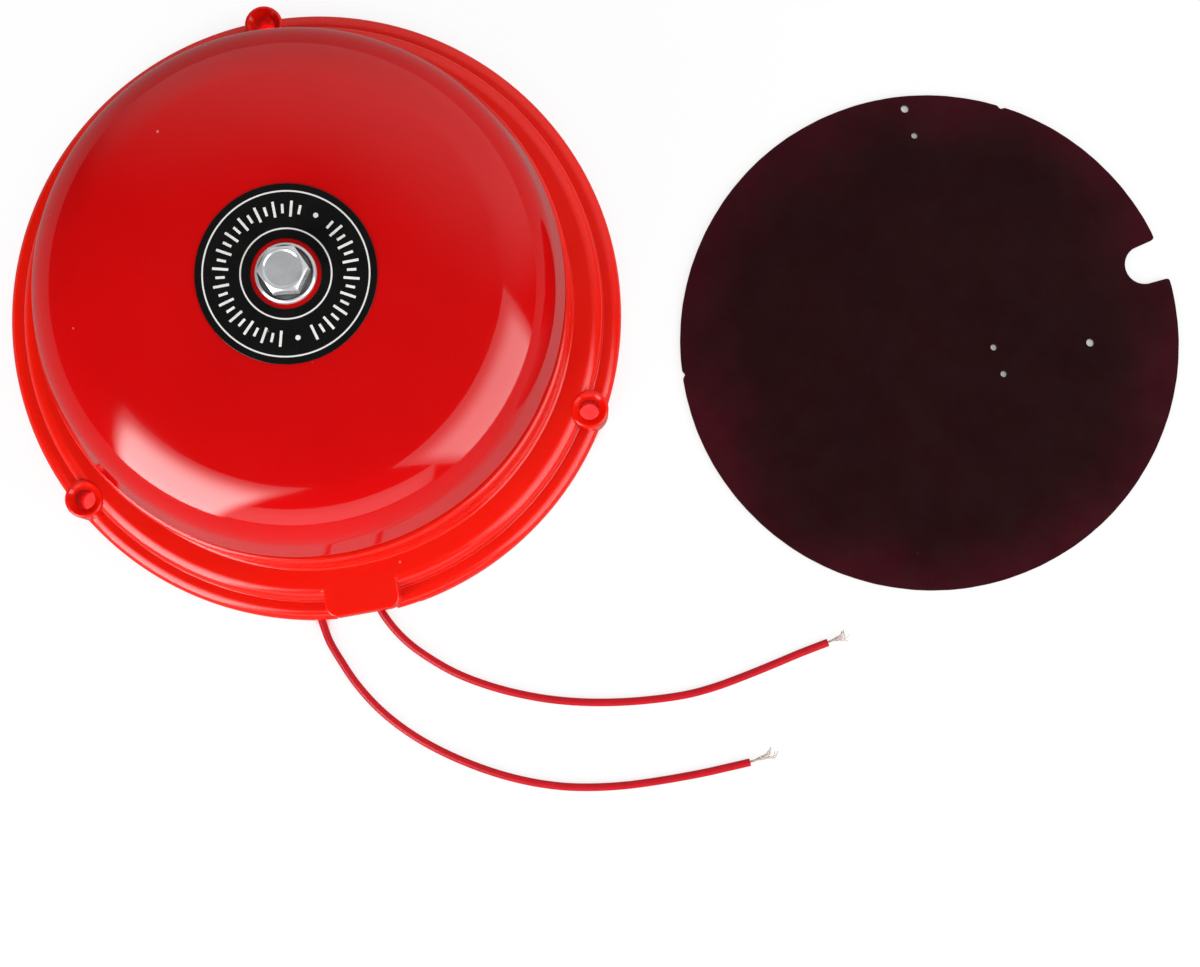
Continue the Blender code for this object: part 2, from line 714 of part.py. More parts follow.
def make_chassis(shop, places):
    roof = CEILING - GAP
    half = CHASSIS_WIDTH / 2
    near, far = MAGNET_Y - half, MAGNET_Y + half
    leg_low, leg_high = places["leg"]
    face = places["face"]
    sole = places["axis_z"] - BOBBIN_FLANGE_RADIUS
    chassis = shop.link(
        box("chassis", (leg_low, near, places["chassis_low"]), (face, far, roof)), CHASSIS_STEEL
    )
    inlay = CHASSIS_THICKNESS / 3
    shop.join(chassis, box("chassis_leg", (leg_low, near, sole), (leg_high, far, roof - inlay)))
    lip = box("chassis_lip", (face - CHASSIS_THICKNESS, near, places["lip_end"]), (face, far, roof - inlay))
    shop.join(chassis, lip)
    axis = Vector((0, MAGNET_Y, places["axis_z"]))
    beyond = Vector((HOUSING_WALL, 0, 0))
    hole = axis + Vector((leg_low, 0, 0)) - beyond
    shop.cut(chassis, rod("core_screw_hole", SCREW_RADIUS + GAP, hole, hole + 3 * beyond))
    for number, x in enumerate(places["chassis_screws"], 1):
        start = (x, MAGNET_Y, places["chassis_low"] - HOUSING_WALL)
        shop.cut(chassis, rod(f"chassis_hole_{number}", SCREW_RADIUS + GAP, start, (x, MAGNET_Y, DRUM_TOP)))
        screw = pan_screw(
            f"chassis_screw_{number}", SCREW_RADIUS, SCREW_HEAD_RADIUS, SCREW_HEAD_HEIGHT,
            DRUM_TOP - places["chassis_low"],
        )
        screw.location = (x, MAGNET_Y, DRUM_TOP + GAP)
        shop.link(screw, ZINC_STEEL)
    clamp_z = (places["lip_end"] + roof) / 2
    for number, y in clamp_screw_places():
        start = (face - 2 * CHASSIS_THICKNESS, y, clamp_z)
        end = (face + HOUSING_WALL, y, clamp_z)
        shop.cut(chassis, rod(f"lip_hole_{number}", CLAMP_SCREW_RADIUS + GAP, start, end))


def make_magnet(shop, places):
    coil_low, coil_high = places["coil"]
    length = coil_high - coil_low
    axis = Vector((0, MAGNET_Y, places["axis_z"]))
    tail = coil_low
    pole = places["pole_x"]
    tapped = SCREW_RADIUS + GAP
    tapped_depth = 2 * SCREW_HEAD_RADIUS
    core = turned(
        "magnet_core",
        [
            (0.0, pole - tail),
            (POLE_RADIUS, pole - tail),
            (POLE_RADIUS, pole - tail - POLE_THICKNESS),
            (CORE_RADIUS, pole - tail - POLE_THICKNESS),
            (CORE_RADIUS, 0.0),
            (tapped, 0.0),
            (tapped, tapped_depth),
            (0.0, tapped_depth),
        ],
        closed=False,
    )
    shop.link(facing_x(core, axis + Vector((tail, 0, 0))), SOFT_IRON)
    screw = pan_screw(
        "core_screw", SCREW_RADIUS, SCREW_HEAD_RADIUS, SCREW_HEAD_HEIGHT,
        CHASSIS_THICKNESS + GAP + tapped_depth - GAP,
    )
    screw.rotation_euler = (0.0, -math.pi / 2, 0.0)
    screw.location = axis + Vector((places["leg"][0] - GAP, 0, 0))
    shop.link(screw, ZINC_STEEL)

    bore = CORE_RADIUS + GAP
    barrel = bore + BOBBIN_WALL
    cheek = BOBBIN_FLANGE_THICKNESS
    bobbin = turned(
        "coil_bobbin",
        [
            (bore, length),
            (BOBBIN_FLANGE_RADIUS, length),
            (BOBBIN_FLANGE_RADIUS, length - cheek),
            (barrel, length - cheek),
            (barrel, cheek),
            (BOBBIN_FLANGE_RADIUS, cheek),
            (BOBBIN_FLANGE_RADIUS, 0.0),
            (bore, 0.0),
        ],
    )
    start = axis + Vector((coil_low, 0, 0))
    shop.link(facing_x(bobbin, start), NYLON)
    tape_outer = BOBBIN_FLANGE_RADIUS - TAPE_INSET
    tape_inner = tape_outer - TAPE_THICKNESS
    low, high = cheek + GAP, length - cheek - GAP
    winding = ring("coil_winding", barrel + GAP, tape_inner - GAP, low, high)
    shop.link(facing_x(winding, start), COPPER)
    shop.link(facing_x(ring("coil_tape", tape_inner, tape_outer, low, high), start), COIL_TAPE)


def make_armature(shop, places):
    low, high = places["armature"]
    face = places["face"]
    half = ARMATURE_WIDTH / 2
    armature = shop.link(
        box("armature", (face - ARMATURE_THICKNESS, MAGNET_Y - half, low), (face, MAGNET_Y + half, high)),
        SOFT_IRON,
    )
    spring_low, spring_high = places["spring"]
    spring_half = SPRING_WIDTH / 2
    roof = places["chassis_low"]
    spring = shop.link(
        box(
            "armature_spring",
            (spring_low, MAGNET_Y - spring_half, low),
            (spring_high, MAGNET_Y + spring_half, roof),
        ),
        SPRING_STEEL,
    )
    block_low, block_high = places["block"]
    block_top = high - GAP
    block_foot = block_top - ROD_BLOCK_HEIGHT
    block = shop.link(
        box(
            "rod_block",
            (block_low, MAGNET_Y - spring_half, block_foot),
            (block_high, MAGNET_Y + spring_half, block_top),
        ),
        BRASS,
    )
    moving = [armature, spring, block]
    rivet_z = (block_foot + block_top) / 2
    for number, y in clamp_screw_places():
        start = (face - 2 * ARMATURE_THICKNESS, y, rivet_z)
        end = (block_high + HOUSING_WALL, y, rivet_z)
        hole = rod(f"rivet_hole_{number}", RIVET_RADIUS + GAP, start, end)
        for piece in (armature, spring, block):
            shop.cut(piece, hole)
        length = block_high + GAP - face + ARMATURE_THICKNESS
        rivet = pan_screw(
            f"armature_rivet_{number}", RIVET_RADIUS, RIVET_HEAD_RADIUS, RIVET_HEAD_HEIGHT, length
        )
        moving.append(shop.link(facing_x(rivet, (block_high + GAP, y, rivet_z)), BRASS))

    clamp_z = (places["lip_end"] + CEILING - GAP) / 2
    clamp_low, clamp_high = places["clamp"]
    clamp = shop.link(
        box(
            "clamp_plate",
            (clamp_low, MAGNET_Y - spring_half, places["lip_end"]),
            (clamp_high, MAGNET_Y + spring_half, roof),
        ),
        CHASSIS_STEEL,
    )
    for number, y in clamp_screw_places():
        start = (spring_low - HOUSING_WALL, y, clamp_z)
        end = (clamp_high + HOUSING_WALL, y, clamp_z)
        hole = rod(f"clamp_hole_{number}", CLAMP_SCREW_RADIUS + GAP, start, end)
        for piece in (spring, clamp):
            shop.cut(piece, hole)
        screw = pan_screw(
            f"clamp_screw_{number}", CLAMP_SCREW_RADIUS, CLAMP_SCREW_HEAD_RADIUS, SCREW_HEAD_HEIGHT,
            clamp_high + GAP - face + CHASSIS_THICKNESS,
        )
        shop.link(facing_x(screw, (clamp_high + GAP, y, clamp_z)), ZINC_STEEL)

    rod_foot = block_foot
    bore_start = (places["rod_x"], MAGNET_Y, block_foot - HOUSING_WALL)
    bore_end = (places["rod_x"], MAGNET_Y, block_top + HOUSING_WALL)
    shop.cut(block, rod("rod_block_bore", ROD_RADIUS + GAP, bore_start, bore_end))
    head_z = places["head_z"]
    bend_low, bend_high = DRUM_TOP - HOUSING_WALL, head_z - HEAD_RADIUS
    points = [Vector((places["rod_x"], MAGNET_Y, rod_foot))]
    for i in range(9):
        t = i / 8
        sweep = (1 - math.cos(math.pi * t)) / 2
        x = places["rod_x"] + ROD_OFFSET * sweep
        points.append(Vector((x, MAGNET_Y, bend_low + (bend_high - bend_low) * t)))
    points.append(Vector((places["rod_top_x"], MAGNET_Y, head_z)))
    moving.append(shop.link(tube("hammer_rod", points, ROD_RADIUS), ZINC_STEEL))

    tip = places["tip_x"]
    dome = arc((HEAD_LENGTH - HEAD_DOME, HEAD_RADIUS - HEAD_DOME), HEAD_DOME, 0.0, math.pi / 2, 3)
    head = turned(
        "hammer_head",
        [(0.0, HEAD_LENGTH)] + [(r, z) for z, r in dome] + [(HEAD_RADIUS, 0.0), (0.0, 0.0)],
        closed=False,
    )
    moving.append(shop.link(facing_x(head, (tip - HEAD_LENGTH, MAGNET_Y, head_z)), BRASS))
    socket_low = (places["rod_top_x"], MAGNET_Y, head_z - 2 * HEAD_RADIUS)
    socket_high = (places["rod_top_x"], MAGNET_Y, head_z + GAP)
    shop.cut(head, rod("head_socket", ROD_RADIUS + GAP, socket_low, socket_high))
    shop.pivot("hammer_hinge", ((spring_low + spring_high) / 2, MAGNET_Y, places["hinge_z"]), moving)


def make_back_plate(shop):
    curve = bpy.data.curves.new("back_plate", "CURVE")
    curve.dimensions = "2D"
    curve.fill_mode = "BOTH"
    curve.extrude = PLATE_THICKNESS / 2

    def add_outline(points):
        spline = curve.splines.new("POLY")
        spline.points.add(len(points) - 1)
        for target, (x, y) in zip(spline.points, points):
            target.co = (x, y, 0.0, 1.0)
        spline.use_cyclic_u = True

    turn = math.radians(NOTCH_ANGLE)
    mouth = math.asin(NOTCH_RADIUS / PLATE_RADIUS)
    edge = arc((0.0, 0.0), PLATE_RADIUS, turn + mouth, turn + 2 * math.pi - mouth, ROUND_STEPS)
    centre = polar(PLATE_RADIUS - NOTCH_INSET, NOTCH_ANGLE)
    notch = arc(centre, NOTCH_RADIUS, turn - math.pi / 2, turn - 1.5 * math.pi, 12)
    add_outline(edge + notch)
    for radius, degrees in PLATE_SCREW_HOLES + PLATE_OTHER_HOLES:
        add_outline(arc(polar(radius, degrees), PLATE_HOLE_RADIUS, 0.0, 2 * math.pi, 12)[:-1])
    plate = bpy.data.objects.new("back_plate", curve)
    plate.location = (*PLATE_PLACE, PLATE_THICKNESS / 2)
    shop.link(plate, BLACK_BOARD)


def make_lead(shop, letter, route, strands, sleeve_side, inner_route, entry, places):
    shop.link(tube(f"lead_{letter}", smooth_route(route, LEAD_SPACING), LEAD_RADIUS), RED_INSULATION)
    ends = smooth_route(strands, LEAD_SPACING / 4)
    taper = [1.0 - (1.0 - STRAND_TIP) * i / (len(ends) - 1) for i in range(len(ends))]
    shop.link(tube(f"lead_{letter}_strands", ends, STRAND_RADIUS, taper), TINNED_COPPER)

    away = BOBBIN_FLANGE_RADIUS + GAP + SLEEVE_RADIUS
    drop = SLEEVE_RADIUS + GAP
    y = MAGNET_Y - math.sqrt(away ** 2 - drop ** 2)
    z = places["axis_z"] + sleeve_side * drop
    start = Vector((places["coil"][0] + SLEEVE_INSET, y, z))
    end = start + Vector((SLEEVE_LENGTH, 0, 0))
    sleeve = rod(f"sleeve_{letter}", SLEEVE_RADIUS, start, end)
    shop.link(sleeve, BLACK_SLEEVE)
    first = end + Vector((GAP, 0, 0))
    out = (Vector(route[1]) - Vector(route[0])).normalized()
    last = Vector(route[0]) - out * GAP
    deck_underside = DECK_HEIGHT - HOUSING_WALL
    inner = [first, first + Vector((LEAD_SPACING, 0, 0))]
    for inset, across, height in inner_route:
        inner.append(exit_place(CHAMBER_RADIUS - inset, across, deck_underside + height))
    entry_z = WIRE_GROOVE_HEIGHT - ENTRY_ROOM
    inner.append(exit_place(RECESS_RADIUS - ENTRY_INSET, entry, entry_z))
    inner += [last - out * LEAD_SPACING / 2, last]
    shop.link(tube(f"inner_lead_{letter}", smooth_route(inner, LEAD_SPACING), LEAD_RADIUS), RED_INSULATION)


def main():
    clear_scene()
    shop = Workshop()
    places = mechanism_places()
    make_base(shop, places)
    make_gong(shop)
    make_bolt(shop)
    make_pillar(shop)
    make_chassis(shop, places)
    make_magnet(shop, places)
    make_armature(shop, places)
    make_back_plate(shop)
    make_lead(shop, "a", ROUTE_A, STRANDS_A, -1, INNER_ROUTE_A, ENTRY_A, places)
    make_lead(shop, "b", ROUTE_B, STRANDS_B, 1, INNER_ROUTE_B, ENTRY_B, places)


if __name__ == "__main__":
    main()
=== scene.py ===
"""Dresses a packed alarm bell: moulded housing, pressed gong, label, bolt, leads, back plate and works.

Metres, +Z up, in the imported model's own frame: the bell's axis is Z and its wall face is z = 0.
"""

import json
import math

import bmesh
import bpy
from bpy.props import FloatProperty, FloatVectorProperty, IntProperty, PointerProperty
from mathutils import Matrix, Vector

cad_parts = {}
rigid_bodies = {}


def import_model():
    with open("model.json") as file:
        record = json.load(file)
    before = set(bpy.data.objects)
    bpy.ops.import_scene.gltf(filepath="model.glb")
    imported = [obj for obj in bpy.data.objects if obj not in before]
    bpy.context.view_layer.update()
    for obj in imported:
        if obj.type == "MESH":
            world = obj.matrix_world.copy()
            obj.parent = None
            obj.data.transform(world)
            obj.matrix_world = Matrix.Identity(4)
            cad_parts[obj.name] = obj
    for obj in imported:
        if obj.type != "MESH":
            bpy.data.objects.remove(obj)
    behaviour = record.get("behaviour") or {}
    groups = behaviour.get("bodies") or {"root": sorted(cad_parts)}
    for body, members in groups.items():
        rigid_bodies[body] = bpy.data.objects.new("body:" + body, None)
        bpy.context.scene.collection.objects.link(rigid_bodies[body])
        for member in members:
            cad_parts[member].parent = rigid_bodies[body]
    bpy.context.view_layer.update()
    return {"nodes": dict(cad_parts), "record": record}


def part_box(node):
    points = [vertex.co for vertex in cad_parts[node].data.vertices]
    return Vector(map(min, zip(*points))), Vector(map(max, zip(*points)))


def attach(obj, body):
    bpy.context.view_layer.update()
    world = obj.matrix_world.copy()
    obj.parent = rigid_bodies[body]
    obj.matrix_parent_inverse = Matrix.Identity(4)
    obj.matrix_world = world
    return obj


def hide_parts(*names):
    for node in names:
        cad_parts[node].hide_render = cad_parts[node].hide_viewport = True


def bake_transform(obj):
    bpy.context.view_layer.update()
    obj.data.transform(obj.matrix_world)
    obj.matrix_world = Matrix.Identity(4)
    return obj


bl_info = {
    "name": "Alarm bell",
    "version": (1, 0, 0),
    "blender": (4, 5, 0),
    "location": "View3D > Sidebar > Alarm bell",
    "description": "Builds the surfaces and finishes of an electric alarm bell round its packed frame",
    "category": "Add Mesh",
}

for leftover in list(bpy.data.objects):
    bpy.data.objects.remove(leftover)
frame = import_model()
BOXES = {node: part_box(node) for node in frame["nodes"]}
HINGE = next(joint for joint in frame["record"]["behaviour"]["joints"] if joint["name"] == "hammer_swing")

# Mesh detail
ROUND_STEPS = 192
SMALL_STEPS = 48
ARC_STEPS = 5
SMOOTH_ANGLE = math.radians(32)
MERGE = 1e-7
STRAND_POINTS = 28
STRAND_SIDES = 8
STRAND_TRIM = 0.0014
DOT_SIDES = 20
STRAND_SPREAD = 2.2
STRAND_LEAST_SPLAY = 0.10
SHORT_MARK_CUT = 0.42

# Angles between faces past which an edge is softened
BROAD_EDGES = math.radians(50)
FINE_EDGES = math.radians(40)
ALL_EDGES = math.radians(28)

# A screw: half the width of its slot and the dome of its head, against the head, and its edges and tip
SCREW_SLOT, SCREW_DOME = 0.16, 0.55
SCREW_EDGE, SCREW_TIP = 0.00005, 0.0003

# Finishes: limits of the noise, rarity of the dust, and how much finer the gloss drifts than the colour
DRIFT_LIMITS = (0.30, 0.70)
GRAIN_LIMITS = (0.25, 0.75)
SPECK_RARITY = 6.0
GLOSS_FINER = 2.3
OCCLUSION_SAMPLES = 8

# Metals: shades of the colour, the last one a painted shade for nooks; where a polished edge or a nook's
# painted shade starts and is full, and depth of the lines
METAL_DULL, METAL_BRIGHT, METAL_EDGE, METAL_NOOK_SHADE = 0.82, 1.05, 1.5, 0.10
METAL_DRIFT = 260.0
EDGE_LIMITS = (0.52, 0.62)
NOOK_SHADE_LIMITS, NOOK_SHADE_REACH = (0.90, 0.50), 0.0015
LINE_DEPTH = 0.000006

# The label's lines: where their ink starts and is full, in line widths
LINE_LIMITS = (0.65, 0.35)

# The board's red tint: its blotches, where it starts and is full in radii of the board, and its rise
TINT_BLOTCH, TINT_SCALE = 0.006, 34.0
TINT_LIMITS, TINT_RISE = (0.72, 1.02), 1.6

# The gong's waves from the press, and the turns of the winding
WAVE_SCALE, WAVE_DEPTH = 70.0, 0.00004
TURN_SCALE, TURN_DEPTH = 800.0, 0.0001

# Sockets that share a name are reached by their place in the node
MIX_FACTOR, MIX_A, MIX_B, MIX_RESULT = 0, 6, 7, 2
RANDOM_LOW, RANDOM_HIGH, RANDOM_ID, RANDOM_SEED, RANDOM_FLOAT = 2, 3, 7, 8, 1

# Room between pieces that meet or turn in each other
CLEARANCE = 0.0003

# Heights of the lead wires: in the exit, just outside it, and on the table
EXIT_HEIGHTS = (0.00110, 0.00092)
LEAD_REST = 0.00085


def lead_route(*points):
    """Points of a lead from the exit to its stripped end, each with its height."""
    heights = (*EXIT_HEIGHTS, *[LEAD_REST] * len(points))
    return tuple((*point, z) for point, z in zip(points, heights))


ROUTE_A = lead_route(
    (0.0049, -0.0589), (0.0058, -0.0612), (0.0074, -0.0647), (0.0099, -0.0683),
    (0.0132, -0.0725), (0.0175, -0.0767), (0.0221, -0.0801), (0.0274, -0.0831),
    (0.0338, -0.0858), (0.0409, -0.0880), (0.0479, -0.0894), (0.0548, -0.0900),
    (0.0610, -0.0898), (0.0676, -0.0890), (0.0745, -0.0876), (0.0822, -0.0857),
    (0.0877, -0.0841), (0.0920, -0.0828),
)
ROUTE_B = lead_route(
    (0.0160, -0.0557), (0.0174, -0.0583), (0.0203, -0.0616), (0.0237, -0.0644),
    (0.0279, -0.0669), (0.0328, -0.0692), (0.0385, -0.0710), (0.0447, -0.0723),
    (0.0517, -0.0731), (0.0587, -0.0732), (0.0656, -0.0727), (0.0724, -0.0717),
    (0.0788, -0.0703), (0.0843, -0.0684), (0.0897, -0.0660), (0.0949, -0.0635),
    (0.1005, -0.0607), (0.1059, -0.0582),
)
STRANDS_A = ((0.0917, -0.0829, LEAD_REST), (0.0949, -0.0815, 0.0011), (0.0972, -0.0803, 0.0016))
STRANDS_B = ((0.1056, -0.0583, LEAD_REST), (0.1082, -0.0571, 0.0011), (0.1098, -0.0562, 0.0018))

# The leads inside the housing: distance out along the wire exit, place across it, and height
INNER_ROUTE_A = (
    (0.0017, 0.0070, 0.0145), (0.0165, 0.0041, 0.0135), (0.0323, 0.0012, 0.0125),
    (0.0425, -0.0009, 0.0104), (0.0478, -0.0035, 0.0062), (0.0524, -0.0069, 0.0026),
)
INNER_ROUTE_B = (
    (0.0007, 0.0112, 0.0175), (0.0175, 0.0080, 0.0150), (0.0331, 0.0045, 0.0128),
    (0.0433, 0.0023, 0.0104), (0.0479, 0.0016, 0.0066), (0.0524, 0.0017, 0.0026),
)


def low(node):
    return BOXES[node][0]


def high(node):
    return BOXES[node][1]


def middle(node):
    return (low(node) + high(node)) / 2


def near_end(node):
    """The middle of the node's end towards -X."""
    return Vector((low(node).x, *middle(node).yz))


def length(name, description, default):
    return FloatProperty(
        name=name, description=description, default=default, min=0.0, precision=5, unit="LENGTH"
    )


def turn(name, description, degrees):
    return FloatProperty(name=name, description=description, default=math.radians(degrees), unit="ROTATION")


def colour(name, description, default):
    return FloatVectorProperty(
        name=name, description=description, default=default, size=3, min=0.0, max=1.0, subtype="COLOR"
    )


def power(name, description, default):
    return FloatProperty(name=name, description=description, default=default, min=0.0, unit="POWER")


def share(name, description, default):
    return FloatProperty(name=name, description=description, default=default, min=0.0, subtype="FACTOR")


class HousingSettings(bpy.types.PropertyGroup):
    flange_radius: length("Flange radius", "Outer edge of the housing's flange", high("base").x)
    flange_thickness: length("Flange thickness", "Height of the flange's top", 0.0040)
    flange_round: length("Flange rounding", "Rounding of the flange's outer edge", 0.0022)
    ledge_radius: length("Ledge radius", "Where the shoulder meets the flange", 0.0571)
    deck_height: length("Deck height", "Height of the flat deck round the drum", 0.0100)
    shoulder_round: length("Shoulder rounding", "Rounding from the deck down to the flange", 0.0026)
    drum_radius: length("Drum radius", "Radius of the drum under the gong", 0.0508)
    drum_top: length("Drum top", "Height of the drum's top", high("base").z)
    drum_round: length("Drum rounding", "Rounding of the drum's top edge", 0.0010)
    wall: length("Wall", "Thickness of the moulding", 0.0020)
    back_rim: length("Back rim", "Width of the rim that meets the wall", 0.0057)
    stud_hole: length("Stud hole", "Radius of the pillar's hole in the drum's top", 0.0033)
    ear_circle: length("Ear circle", "Radius of the circle that the screw ears stand on", 0.0579)
    ear_turn: turn("Ear turn", "Place of the first screw ear", 104.0)
    ear_radius: length("Ear radius", "Radius of a screw ear", 0.00375)
    ear_rise: length("Ear rise", "How far an ear stands above the deck", 0.0002)
    ear_hole: length("Ear hole", "Radius of the screw hole in an ear", 0.0020)
    dish_radius: length("Dish radius", "Outer radius of the dish round a screw hole", 0.0031)
    dish_depth: length("Dish depth", "Depth of that dish", 0.0007)
    block_width: length("Block width", "Width of the wire exit's block", 0.0146)
    block_corner: length("Block corner", "Rounding of the block's outer corners", 0.0022)
    block_drop: length("Block drop", "How far the block lies below the deck", 0.00002)
    exit_width: length("Exit width", "Width of the wire channel", 0.0120)
    exit_height: length("Exit height", "Height of the wire channel", 0.0052)
    groove_width: length("Groove width", "Width of the groove that spreads the wires", 0.0215)
    groove_height: length("Groove height", "Height of that groove", 0.0021)
    colour: colour("Plastic", "Colour of the moulding", (0.665, 0.0072, 0.0014))


class GongSettings(bpy.types.PropertyGroup):
    rim_radius: length("Rim radius", "Outer radius at the rim", high("gong").x)
    wall: length("Wall", "Thickness of the pressed steel", 0.0013)
    flat_radius: length("Flat radius", "Radius of the flat centre", 0.0175)
    crown_radius: length("Crown radius", "Radius of the crown's curve", 0.110)
    shoulder_radius: length("Shoulder radius", "Radius of the curve between crown and wall", 0.014)
    wall_tilt: turn("Wall tilt", "Lean of the straight wall", 12.0)
    bore: length("Bore", "Radius of the bolt's hole", 0.0027)
    colour: colour("Enamel", "Colour of the gong's paint", (0.49, 0.0012, 0.0016))


class LabelSettings(bpy.types.PropertyGroup):
    radius: length("Radius", "Outer radius of the label", high("gong_label").x)
    hole: length("Hole", "Radius of the label's hole", 0.0064)
    outer_line: length("Outer line", "Radius of the outer printed line", 0.0150)
    inner_line: length("Inner line", "Radius of the inner printed line", 0.0082)
    line_width: length("Line width", "Width of the printed lines", 0.00027)
    mark_circle: length("Mark circle", "Radius of the ring of marks", 0.0118)
    mark_length: length("Mark length", "Length of a long mark", 0.0029)
    mark_width: length("Mark width", "Width of a mark", 0.00047)
    mark_count: IntProperty(name="Marks", description="Places in the ring of marks", default=48, min=12)
    film: colour("Film", "Colour of the film", (0.0045, 0.0045, 0.0045))
    ink: colour("Ink", "Colour of the print", (0.70, 0.69, 0.66))


class BoltSettings(bpy.types.PropertyGroup):
    flats: length("Across flats", "Width of the hexagon", 0.0080)
    flange_radius: length("Flange radius", "Radius of the washer face", 0.0056)
    flange_thickness: length("Flange thickness", "Height of the washer face", 0.0011)
    trough: length("Trough", "Depth of the trough between the flange's rim and the hexagon", 0.0006)
    chamfer: length("Chamfer", "Width of the chamfer on the head", 0.0003)
    dish: length("Dish", "Depth of the dish in the head's top", 0.00025)
    shank: length("Shank", "Radius of the shank", 0.0024)
    head_turn: turn("Head turn", "How the hexagon stands", 9.0)
    colour: colour("Plating", "Colour of the plating", (0.80, 0.81, 0.83))


class PlateSettings(bpy.types.PropertyGroup):
    hole_radius: length("Hole radius", "Radius of the small holes", 0.0008)
    notch_turn: turn("Notch place", "Place of the wire notch", 23.5)
    notch_radius: length("Notch radius", "Half the width of the notch", 0.0039)
    notch_inset: length("Notch inset", "How far in the notch's centre lies", 0.0040)
    lip_round: length("Lip rounding", "Rounding of the notch's two outer corners", 0.0006)
    edge_round: length("Edge rounding", "Rounding of the sawn edge", 0.00012)
    saw_depth: length("Saw marks", "Depth of the waves that the saw left", 0.00010)
    nick_depth: length("Nick depth", "Depth of the two nicks in the edge", 0.00055)
    colour: colour("Board", "Colour of the board", (0.0145, 0.0028, 0.0036))
    edge_colour: colour("Board edge", "Colour towards the board's edge", (0.0340, 0.0030, 0.0060))


class LeadSettings(bpy.types.PropertyGroup):
    diameter: length("Diameter", "Diameter of the insulation", 0.0016)
    radius: length("Drawn radius", "Radius of the insulation as drawn, a hair less than half", 0.00077)
    wire_radius: length("Wire radius", "Radius of one bare wire", 0.000062)
    lay_radius: length("Lay radius", "Radius of the twisted bundle", 0.00022)
    splay: length("Splay", "How far the wires spread at the tip", 0.0014)
    wires: IntProperty(name="Wires", description="Bare wires in a lead", default=10, min=3)
    seed: IntProperty(name="Seed", description="Seed of the wires' spread", default=4)
    insulation: colour("Insulation", "Colour of the insulation", (0.43, 0.0020, 0.0090))
    wire: colour("Wire", "Colour of the bare wires", (0.70, 0.60, 0.54))


class WorksSettings(bpy.types.PropertyGroup):
    edge_round: length("Edge rounding", "Rounding of the sheet metal's edges", 0.00020)
    strip: length("Strip", "Thickness of the chassis strip", 0.0015)
    bend: length("Bend", "Outer radius of the chassis' bends", 0.0022)
    pillar_radius: length("Pillar radius", "Radius of the gong's pillar", 0.0058)
    pillar_foot: length("Pillar foot", "Thickness of the pillar's foot", 0.0020)
    stud_radius: length("Stud radius", "Radius of the pillar's stud", 0.0030)
    nut_flats: length("Nut flats", "Width of the nut across its flats", 0.0100)
    core_radius: length("Core radius", "Radius of the magnet's core", 0.0035)
    pole_thickness: length("Pole thickness", "Thickness of the core's pole head", 0.0020)
    cheek: length("Cheek", "Thickness of the bobbin's cheeks", 0.0012)
    barrel: length("Barrel", "Outer radius of the bobbin's barrel", 0.0048)
    tape: length("Tape", "Thickness of the coil's tape", 0.0003)
    screw_shank: length("Screw shank", "Radius of the chassis screws' shanks", 0.0014)
    clamp_shank: length("Clamp shank", "Radius of the clamp screws' shanks", 0.0011)
    screw_head: length("Screw head", "Height of a screw's head", 0.0016)
    rivet_shank: length("Rivet shank", "Radius of a rivet's shank", 0.0010)
    rivet_head: length("Rivet head", "Height of a rivet's head", 0.0009)
    rod_radius: length("Rod radius", "Radius of the hammer's rod", 0.0012)
    rod_offset: length("Rod offset", "How far the rod's top stands off its foot", 0.0030)
    zinc: colour("Zinc", "Colour of zinc plating", (0.56, 0.57, 0.56))
    steel: colour("Chassis steel", "Colour of passivated steel", (0.50, 0.48, 0.40))
    spring: colour("Spring steel", "Colour of spring steel", (0.40, 0.42, 0.46))
    iron: colour("Soft iron", "Colour of soft iron", (0.36, 0.35, 0.34))
    brass: colour("Brass", "Colour of brass", (0.72, 0.48, 0.16))
    copper: colour("Copper", "Colour of enamelled copper", (0.45, 0.13, 0.04))
    fibre: colour("Fibre", "Colour of vulcanised fibre", (0.26, 0.075, 0.035))
    nylon: colour("Nylon", "Colour of the bobbin", (0.72, 0.66, 0.52))
    tape_colour: colour("Tape", "Colour of the coil's tape", (0.60, 0.38, 0.04))
    sleeve: colour("Sleeve", "Colour of the sleeves", (0.015, 0.015, 0.016))


class StageSettings(bpy.types.PropertyGroup):
    floor: colour("Floor", "Colour of the table", (0.86, 0.86, 0.86))
    floor_size: length("Floor size", "Side of the table", 8.0)
    left_power: power("Left softbox", "Power of the softbox on the left", 9.2)
    right_power: power("Right softbox", "Power of the softbox on the right", 4.6)
    front_power: power("Front fill", "Power of the low fill in front", 0.7)
    ambient: share("Ambient", "Light of the dark side of the room", 0.035)
    far_glow: share("Far glow", "Light of the room beyond the bell", 0.50)
    side_light: share("Side light", "Soft light from the upper right, which gloss doesn't show", 1.15)
    under_glow: share("Under glow", "Light on the bell's back, where the view comes from below", 0.80)
    mirrored: share("Mirrored floor", "How bright the table shows in gloss", 0.25)
    hole_glow: share("Hole glow", "How bright the table shows inside the deep holes of the housing", 0.80)
    hole_light: power("Hole light", "Light that the table gives to the walls of those holes", 9.0)


# Geometry


def arc(centre, radius, start, end, steps):
    """Points on an arc, with angles from the first axis towards the second."""
    angles = [start + (end - start) * i / steps for i in range(steps + 1)]
    return [(centre[0] + radius * math.cos(a), centre[1] + radius * math.sin(a)) for a in angles]


